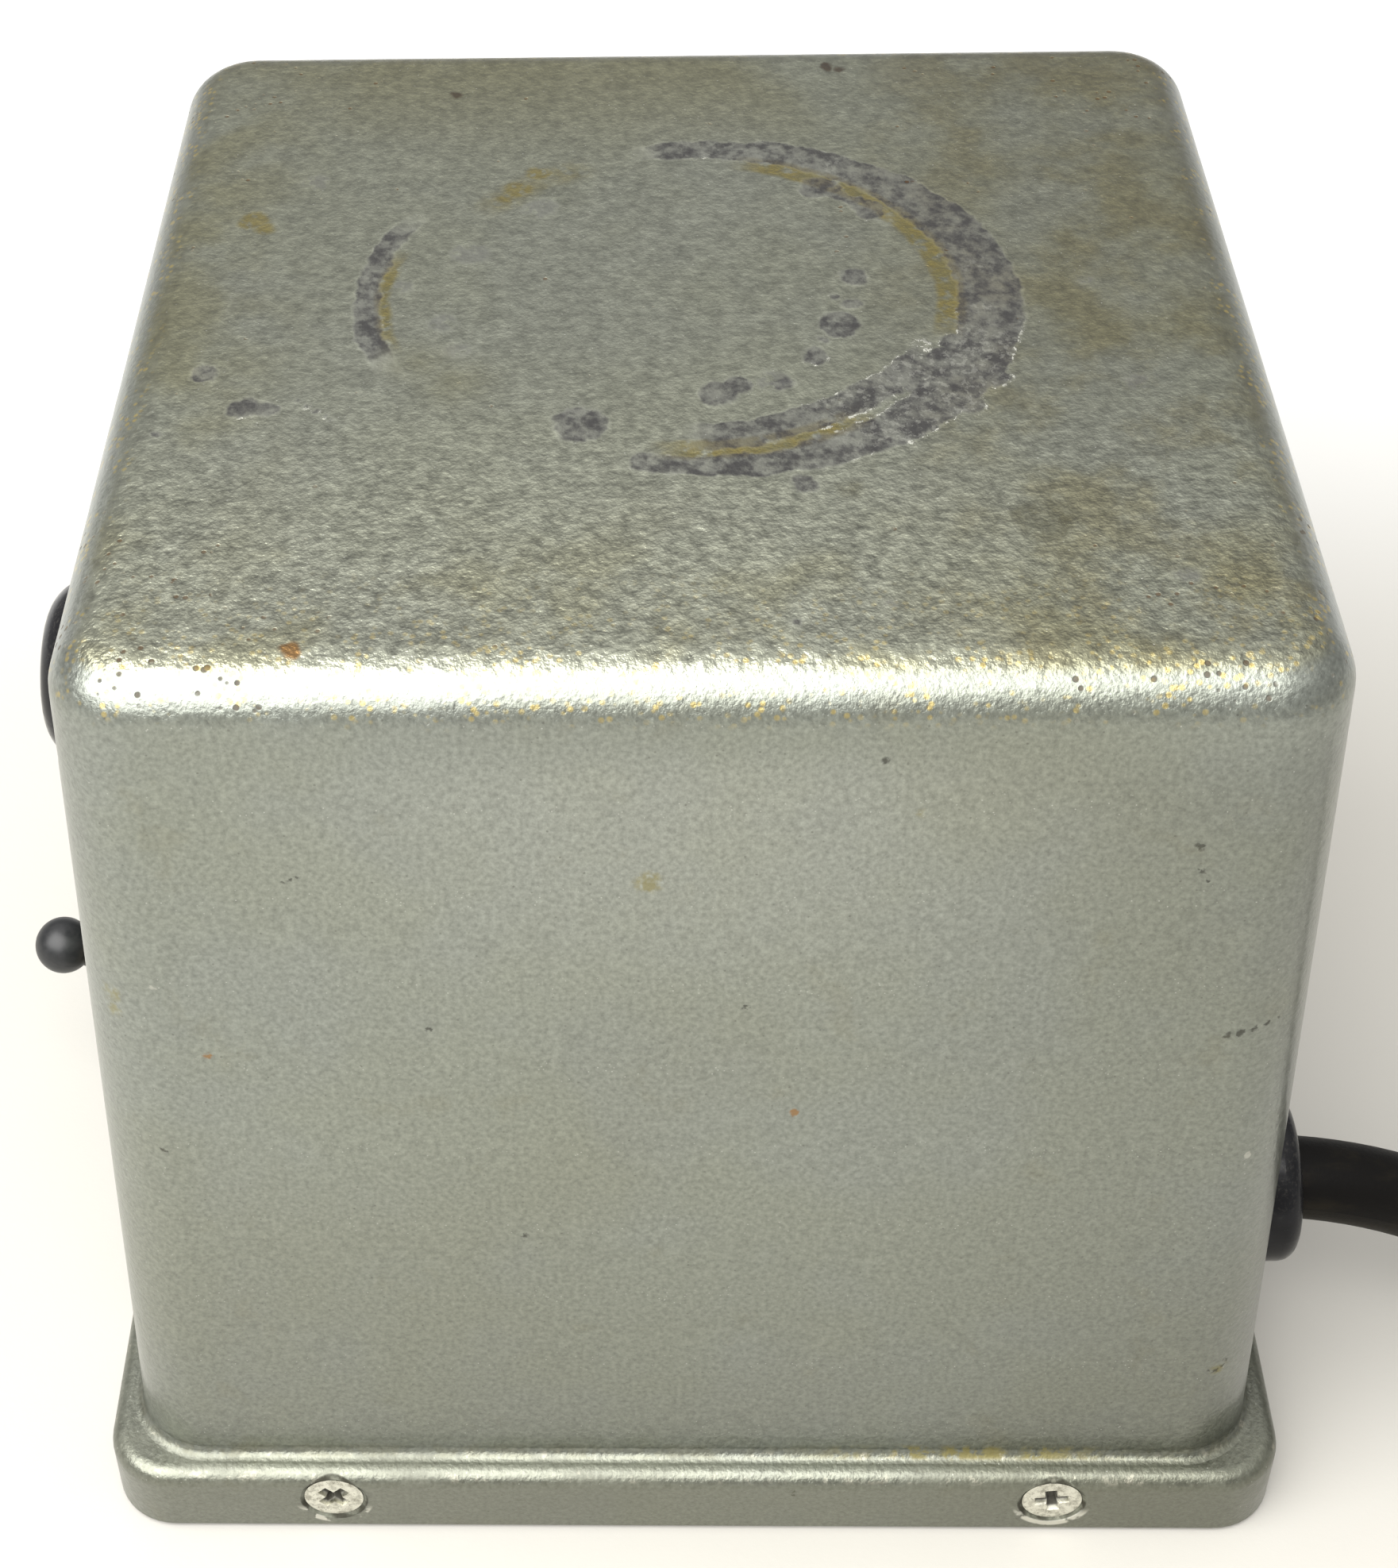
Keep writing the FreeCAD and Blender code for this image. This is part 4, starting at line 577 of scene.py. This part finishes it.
def lip_wear(look, colour, up):
    """Soot in the root of the lip, grime round its screws, and paint rubbed off its edge."""
    low = look.rise(look.z, LIP_TOP + 6.0, LIP_TOP + 0.5)
    root = look.both(
        look.rise(look.z, LIP_TOP + 2.2, LIP_TOP + 1.2),
        look.rise(look.z, LIP_TOP, LIP_TOP + 0.3),
    )
    soot = look.both(low, look.rise(look.noise(7.0, 4, 0.6), 0.42, 0.68))
    colour = look.tint(look.both(soot, 0.16), colour, GRIME)
    colour = look.tint(look.both(look.rise(look.z, LIP_TOP + 1.0, LIP_TOP), 0.18), colour, PAINT_OLIVE)
    rubbed = look.both(
        look.rise(look.y, 10.0, 26.0),
        look.rise(look.y, 50.0, 38.0),
        look.rise(look.x, 55.0, 60.0),
    )
    grimed = look.both(
        root,
        look.rise(look.noise(1.6, 4, 0.65), 0.40, 0.54),
        look.rise(look.noise(5.0, 3), 0.36, 0.50),
        look.blend(rubbed, 0.14, 1.0),
    )
    colour = look.tint(look.both(grimed, 0.8), colour, MUSTARD)
    worn = look.both(
        look.rise(up, 0.35, 0.6),
        look.rise(up, 0.97, 0.85),
        look.rise(look.z, LIP_TOP + 1.5, LIP_TOP + 1.0),
        look.rise(look.noise(2.0, 4, 0.7), 0.56, 0.66),
    )
    colour = look.tint(look.both(worn, 0.35), colour, RUBBED_EDGE)

    level = SCREW_LEVEL
    along_y = look.join(look.math("ABSOLUTE", look.y), look.z, 0.0)
    along_x = look.join(look.math("ABSOLUTE", look.x), look.z, 0.0)
    centre = (SCREW_ALONG, level, 0.0)
    away = look.math(
        "MINIMUM",
        look.vector("DISTANCE", along_y, centre),
        look.vector("DISTANCE", along_x, centre),
    )
    sink = look.rise(away, SCREW_HEAD + 0.62, SCREW_HEAD + 0.42)
    around = look.rise(away, SCREW_HEAD + 1.5, SCREW_HEAD + 0.4)
    halo = look.both(around, look.rise(look.noise(1.4, 3), 0.4, 0.6))
    colour = look.tint(look.both(halo, 0.15), colour, GRIME)
    chips = look.both(
        look.rise(away, SCREW_HEAD + 1.3, SCREW_HEAD + 1.0),
        look.rise(away, SCREW_HEAD + 0.35, SCREW_HEAD + 0.5),
        look.rise(look.z, level - 1.0, level - 2.6),
        look.rise(look.noise(2.2, 3), 0.45, 0.53),
    )
    colour = look.tint(look.both(sink, look.rise(look.noise(1.6, 3), 0.30, 0.60), 0.9), colour, GRIME)
    colour = look.tint(chips, colour, BARE_METAL)
    return colour, look.either(sink, look.both(grimed, 0.5), look.both(soot, 0.3)), chips


# ---------------------------------------------------------------- the other materials


def metal_look(name, colour, stain, rough=0.3, size=3.0, grain=0.25, depth=0.01, amount=0.5):
    """Machined or plated metal: fine tool marks, blotchy tarnish in the stain colour."""
    look = Look(name)
    tarnish = look.rise(look.noise(size, 4, 0.6), 0.45, 0.70)
    scratch = look.noise(grain, 2, 0.6, look.vector("MULTIPLY", look.at, (1.0, 1.0, 6.0)))
    tone = look.tint(look.both(tarnish, amount), colour, stain)
    gloss = look.math("MULTIPLY_ADD", scratch, 0.18, look.blend(tarnish, rough - 0.06, rough + 0.16))
    return look.finish(tone, gloss, 1.0, look.bump(scratch, depth))


def cast_look(name, colour, stain, grain=0.6):
    """Sand or die cast metal: matt, pebbled skin."""
    look = Look(name)
    skin = look.noise(grain, 4, 0.65)
    dark = look.rise(look.noise(16.0, 5, 0.68), 0.36, 0.74)
    specks = look.rise(look.noise(0.8, 3, 0.7), 0.60, 0.70)
    tone = look.tint(look.both(dark, 0.45), colour, stain)
    tone = look.tint(look.both(specks, 0.35), tone, tuple(0.5 * part for part in stain))
    gloss = look.math("MULTIPLY_ADD", skin, 0.2, look.blend(dark, 0.38, 0.52))
    return look.finish(tone, gloss, 0.9, look.bump(skin, 0.08))


def bakelite_look(name, colour, rough=0.13, dust=0.35):
    """Polished moulded plastic with rubbing marks and settled dust."""
    look = Look(name)
    rub = look.noise(1.8, 5, 0.7, look.vector("MULTIPLY", look.at, (1.0, 1.0, 2.5)))
    flow = look.noise(6.0, 3)
    up = look.split(look.normal)[2]
    dusty = look.both(look.rise(look.noise(0.5, 3, 0.7), 0.50, 0.72), look.rise(up, 0.1, 0.9))
    tone = look.tint(look.rise(flow, 0.4, 0.7), colour, tuple(1.5 * part for part in colour))
    tone = look.tint(look.both(dusty, dust * 0.25), tone, (0.30, 0.28, 0.24))
    gloss = look.math("MULTIPLY_ADD", look.rise(rub, 0.45, 0.75), 0.22, rough)
    waves = look.bump(look.noise(7.0, 1), 0.05)
    return look.finish(tone, gloss, 0.0, look.bump(rub, 0.004, waves), Specular_IOR_Level=0.12)


def rubber_look(name, colour, bloom, rough=0.55, grain=0.5):
    """Old rubber: dull, a little bloomed, with a fine cloth-marked skin."""
    look = Look(name)
    skin = look.noise(grain, 4, 0.7)
    patches = look.rise(look.noise(9.0, 4, 0.6), 0.42, 0.66)
    drawn = look.vector("MULTIPLY", look.at, (3.0, 0.5, 3.0))
    streaks = look.rise(look.noise(2.0, 3, 0.6, drawn), 0.5, 0.7)
    tone = look.tint(look.both(patches, 0.8), colour, bloom)
    tone = look.tint(look.both(streaks, 0.4), tone, tuple(0.5 * part for part in colour))
    gloss = look.math("MULTIPLY_ADD", skin, 0.25, rough - 0.12)
    return look.finish(tone, gloss, 0.0, look.bump(skin, 0.05), Specular_IOR_Level=0.45)


def cable_look():
    """The mains cable: black on top, brown on its underside and in scuffs."""
    look = Look("cable_rubber_brown")
    up = look.split(look.normal)[2]
    skin = look.noise(0.5, 4, 0.7)
    drawn = look.vector("MULTIPLY", look.at, (1.0, 0.4, 1.0))
    scuffs = look.rise(look.noise(4.0, 4, 0.6, drawn), 0.50, 0.70)
    below = look.rise(up, 0.1, -0.6)
    tone = look.tint(look.both(scuffs, 0.7), (0.0035, 0.0030, 0.0026), (0.012, 0.0095, 0.0055))
    tone = look.tint(look.both(below, 0.7), tone, (0.018, 0.014, 0.007))
    gloss = look.math("MULTIPLY_ADD", skin, 0.22, 0.40)
    return look.finish(tone, gloss, 0.0, look.bump(skin, 0.04), Specular_IOR_Level=0.10)


def wire_look(name, colour, rough=0.38):
    """Insulation on a wire: smooth, faintly ribbed by the strands below it."""
    look = Look(name)
    ribs = look.noise(0.7, 2, 0.5, look.vector("MULTIPLY", look.at, (2.0, 2.0, 0.6)))
    grime = look.rise(look.noise(4.0, 4), 0.45, 0.7)
    tone = look.tint(look.both(grime, 0.35), colour, tuple(0.35 * part for part in colour))
    return look.finish(tone, look.math("MULTIPLY_ADD", ribs, 0.2, rough - 0.1), 0.0, look.bump(ribs, 0.03))


def striped(look, along, pitch, low, high):
    """A mask of even stripes along one coordinate."""
    wave = look.math("SINE", look.math("MULTIPLY", along, 2 * math.pi / pitch))
    return look.rise(wave, low, high)


def lamination_look():
    """A stack of punched steel sheets, seen as fine level lines on its sides."""
    look = Look("lamination_stack")
    side = look.rise(look.math("ABSOLUTE", look.split(look.normal)[2]), 0.6, 0.3)
    lines = look.both(striped(look, look.z, 0.5, 0.55, 0.95), side)
    burr = look.noise(0.8, 3, 0.6)
    rust = look.rise(look.noise(5.0, 5, 0.65), 0.52, 0.68)
    tone = look.tint(burr, (0.16, 0.165, 0.18), (0.26, 0.26, 0.27))
    tone = look.tint(look.both(lines, 0.8), tone, (0.03, 0.03, 0.03))
    tone = look.tint(look.both(rust, 0.55), tone, (0.16, 0.07, 0.03))
    height = look.math("SUBTRACT", burr, look.math("MULTIPLY", lines, 2.0))
    return look.finish(tone, look.blend(rust, 0.42, 0.75), look.blend(rust, 0.9, 0.2), look.bump(height, 0.04))


def winding_look(name, colour, dark, pitch, metal=0.9):
    """Close-wound wire: level turns with shadow between them."""
    look = Look(name)
    turns = look.math("SINE", look.math("MULTIPLY", look.z, 2 * math.pi / pitch))
    gap = look.rise(turns, -0.2, -0.9)
    tone = look.tint(gap, look.tint(look.noise(2.5, 3), colour, tuple(0.7 * part for part in colour)), dark)
    return look.finish(tone, look.blend(gap, 0.25, 0.5), metal, look.bump(turns, pitch * 0.3))


def nickel_screw_look():
    """Nickel plate gone grey, with black grime packed in the recess."""
    look = Look("nickel_screw_worn")
    wear = look.noise(0.8, 4, 0.7)
    pits = look.rise(look.noise(0.35, 3, 0.7), 0.60, 0.70)
    along = look.either(look.math("ABSOLUTE", look.x), look.math("ABSOLUTE", look.y))
    packed = look.rise(along, FACE - 0.62, FACE - 1.0)
    tone = look.tint(look.rise(wear, 0.30, 0.60), (0.36, 0.35, 0.29), (0.74, 0.73, 0.64))
    tone = look.tint(look.both(pits, 0.7), tone, (0.08, 0.065, 0.035))
    dirt = look.both(packed, look.rise(wear, 0.15, 0.35))
    tone = look.tint(look.both(dirt, 0.92), tone, (0.022, 0.018, 0.010))
    scratch = look.noise(0.18, 2, 0.6, look.vector("MULTIPLY", look.at, (1.0, 3.0, 0.8)))
    rough = look.blend(dirt, look.math("MULTIPLY_ADD", wear, 0.25, 0.20), 0.8)
    metal = look.blend(dirt, 1.0, 0.0)
    return look.finish(tone, rough, metal, look.bump(look.math("ADD", scratch, wear), 0.02))


def lever_look():
    """A black ball moulded on a brown, oxidised stem."""
    look = Look("lever_ball_and_stem")
    away = look.vector("DISTANCE", look.at, tuple(BALL))
    stem = look.rise(away, BALL_RADIUS + 0.05, BALL_RADIUS + 0.25)
    rub = look.noise(0.9, 5, 0.7)
    ball_tone = look.tint(look.rise(rub, 0.4, 0.7), (0.009, 0.010, 0.011), (0.018, 0.018, 0.019))
    stem_tone = look.tint(look.rise(look.noise(0.6, 3), 0.4, 0.6), (0.055, 0.034, 0.020), (0.16, 0.12, 0.08))
    tone = look.tint(stem, ball_tone, stem_tone)
    rough = look.blend(stem, look.math("MULTIPLY_ADD", rub, 0.18, 0.30), 0.42)
    return look.finish(tone, rough, look.blend(stem, 0.0, 0.8), look.bump(rub, 0.01))


def ceramic_look():
    look = Look("ceramic_body")
    grain = look.noise(0.4, 4, 0.6)
    stain = look.rise(look.noise(6.0, 4), 0.46, 0.7)
    tone = look.tint(look.both(stain, 0.4), (0.66, 0.62, 0.53), (0.36, 0.28, 0.18))
    return look.finish(tone, look.math("MULTIPLY_ADD", grain, 0.25, 0.4), 0.0, look.bump(grain, 0.03))


def nylon_look():
    look = Look("nylon_moulding")
    flow = look.noise(4.0, 3)
    tone = look.tint(flow, (0.70, 0.66, 0.55), (0.58, 0.52, 0.38))
    return look.finish(tone, 0.38, 0.0, look.bump(look.noise(0.5, 2), 0.01), Subsurface_Weight=0.1)


def make_looks():
    grey_tarnish = (0.16, 0.15, 0.13)
    return {
        "hammer_paint": paint_look(),
        "nickel_screw": nickel_screw_look(),
        "lever_black": lever_look(),
        "lamination_steel": lamination_look(),
        "ceramic": ceramic_look(),
        "nylon": nylon_look(),
        "cast_aluminium": cast_look("cast_aluminium_skin", (0.52, 0.53, 0.52), (0.22, 0.21, 0.18)),
        "zinc_casting": cast_look("zinc_casting_skin", (0.40, 0.41, 0.43), (0.18, 0.18, 0.18), 0.4),
        "plated_steel": metal_look("plated_steel_dull", (0.55, 0.56, 0.55), grey_tarnish, 0.30),
        "bright_steel": metal_look("bright_steel_turned", (0.60, 0.60, 0.60), grey_tarnish, 0.22),
        "copper": metal_look("copper_bright", (0.72, 0.33, 0.17), (0.22, 0.09, 0.04), 0.30),
        "bronze": metal_look("bronze_bush", (0.52, 0.33, 0.14), (0.17, 0.10, 0.04), 0.40),
        "brass_nickel": metal_look("brass_nickelled", (0.66, 0.60, 0.46), (0.33, 0.24, 0.10), 0.25),
        "alnico": cast_look("alnico_cast", (0.33, 0.33, 0.34), (0.12, 0.10, 0.09), 0.9),
        "resistance_wire": winding_look("resistance_turns", (0.45, 0.42, 0.36), (0.02, 0.02, 0.02), 0.45),
        "enamelled_copper": winding_look("enamelled_turns", (0.38, 0.11, 0.04), (0.03, 0.01, 0.005), 0.6, 0.6),
        "black_bakelite": bakelite_look("black_bakelite_worn", (0.010, 0.010, 0.011)),
        "brown_bakelite": bakelite_look("brown_bakelite_worn", (0.055, 0.022, 0.012), 0.25),
        "foot_rubber": rubber_look("foot_rubber_black", (0.018, 0.018, 0.018), (0.045, 0.043, 0.040), 0.7),
        "cable_rubber": cable_look(),
        "wire_red": wire_look("wire_red_sleeve", (0.30, 0.020, 0.014)),
        "wire_black": wire_look("wire_black_sleeve", (0.014, 0.014, 0.015)),
        "wire_green": wire_look("wire_green_sleeve", (0.020, 0.15, 0.035)),
    }


def dress_frame(looks):
    """Every CAD node keeps its mesh and gets the look of its slot."""
    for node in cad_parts.values():
        for socket in node.material_slots:
            name = socket.material.name
            socket.material = looks[name]


# ---------------------------------------------------------------- stage, light and camera


BENCH_SIDE = 6.0
BENCH = (0.455, 0.440, 0.405)
BENCH_PALE = (0.470, 0.458, 0.428)
BENCH_FAR = (0.620, 0.620, 0.615)


def floor():
    bpy.ops.mesh.primitive_plane_add(size=BENCH_SIDE)
    plane = bpy.context.object
    plane.name = "bench"
    look = Look("bench_white")
    grain = look.noise(0.9, 3, 0.6)
    cloud = look.rise(look.noise(220.0, 2), 0.35, 0.65)
    warm = look.tint(cloud, BENCH, BENCH_PALE)
    far = look.rise(look.x, -60.0, -200.0)
    tone = look.tint(far, warm, BENCH_FAR)
    plane.data.materials.append(look.finish(tone, 0.55, 0.0, look.bump(grain, 0.02)))


def area_light(name, place, aim, size, power, colour):
    data = bpy.data.lights.new(name, "AREA")
    data.shape = "RECTANGLE"
    data.size, data.size_y = size
    data.energy = power
    data.color = colour
    lamp = bpy.data.objects.new(name, data)
    bpy.context.scene.collection.objects.link(lamp)
    lamp.location = place
    lamp.rotation_mode = "QUATERNION"
    lamp.rotation_quaternion = (Vector(place) - Vector(aim)).to_track_quat("Z", "Y")


SOFTBOX_PLACE = (0.54, -0.44, 0.92)
SOFTBOX_AIM = (0.0, 0.0, 0.06)
SOFTBOX_SIZE = (1.5, 1.3)
SOFTBOX_WATTS = 34.0
SOFTBOX_COLOUR = (1.0, 0.995, 0.975)
STUDIO_COLOUR = (1.0, 0.99, 0.975, 1.0)
GLOW_FROM = 0.42
GLOW_LOW = 0.42
GLOW_HIGH = 1.60
BACKDROP_STRENGTH = 0.95


def lights():
    area_light("softbox", SOFTBOX_PLACE, SOFTBOX_AIM, SOFTBOX_SIZE, SOFTBOX_WATTS, SOFTBOX_COLOUR)
    world = bpy.data.worlds.new("studio")
    world.use_nodes = True
    tree = world.node_tree
    backdrop = tree.nodes["Background"]
    backdrop.inputs["Color"].default_value = STUDIO_COLOUR
    way = tree.nodes.new("ShaderNodeTexCoord")
    height = tree.nodes.new("ShaderNodeSeparateXYZ")
    glow = tree.nodes.new("ShaderNodeMapRange")
    seen = tree.nodes.new("ShaderNodeLightPath")
    choice = tree.nodes.new("ShaderNodeMix")
    tree.links.new(way.outputs["Generated"], height.inputs[0])
    tree.links.new(height.outputs["Z"], glow.inputs["Value"])
    glow.inputs["From Min"].default_value = GLOW_FROM
    glow.inputs["To Min"].default_value = GLOW_LOW
    glow.inputs["To Max"].default_value = GLOW_HIGH
    tree.links.new(seen.outputs["Is Camera Ray"], choice.inputs[0])
    tree.links.new(glow.outputs[0], choice.inputs[2])
    choice.inputs[3].default_value = BACKDROP_STRENGTH
    tree.links.new(choice.outputs[0], backdrop.inputs["Strength"])
    bpy.context.scene.world = world


EYE = Vector((0.2375, -0.0044, 0.2785))
GAZE = Vector((-0.7603, -0.0296, -0.6489)).normalized()
TILT = math.radians(1.72)
SENSOR = 36.0
LENS = 62.3
SHIFT = (0.0834, -0.0867)
SAME_PLACE = "0.00001"


def shift_only_at_eye(data, view):
    """The lens is shifted for the main view; from anywhere else the object stays in the middle."""
    for field, amount in zip(("shift_x", "shift_y"), SHIFT):
        driver = data.driver_add(field).driver
        place = driver.variables.new()
        place.name = "x"
        place.type = "TRANSFORMS"
        place.targets[0].id = view
        place.targets[0].transform_type = "LOC_X"
        driver.expression = f"{amount} if abs(x - {EYE.x:.6f}) < {SAME_PLACE} else 0.0"


def camera():
    data = bpy.data.cameras.new("camera")
    data.sensor_width = SENSOR
    data.lens = LENS
    data.clip_start = 0.01
    view = bpy.data.objects.new("camera", data)
    bpy.context.scene.collection.objects.link(view)
    view.matrix_world = (
        Matrix.Translation(EYE)
        @ (-GAZE).to_track_quat("Z", "Y").to_matrix().to_4x4()
        @ Matrix.Rotation(-TILT, 4, "Z")
    )
    shift_only_at_eye(data, view)
    bpy.context.scene.camera = view


dress_frame(make_looks())
floor()
lights()
camera()
bpy.context.scene.view_settings.view_transform = "Standard"
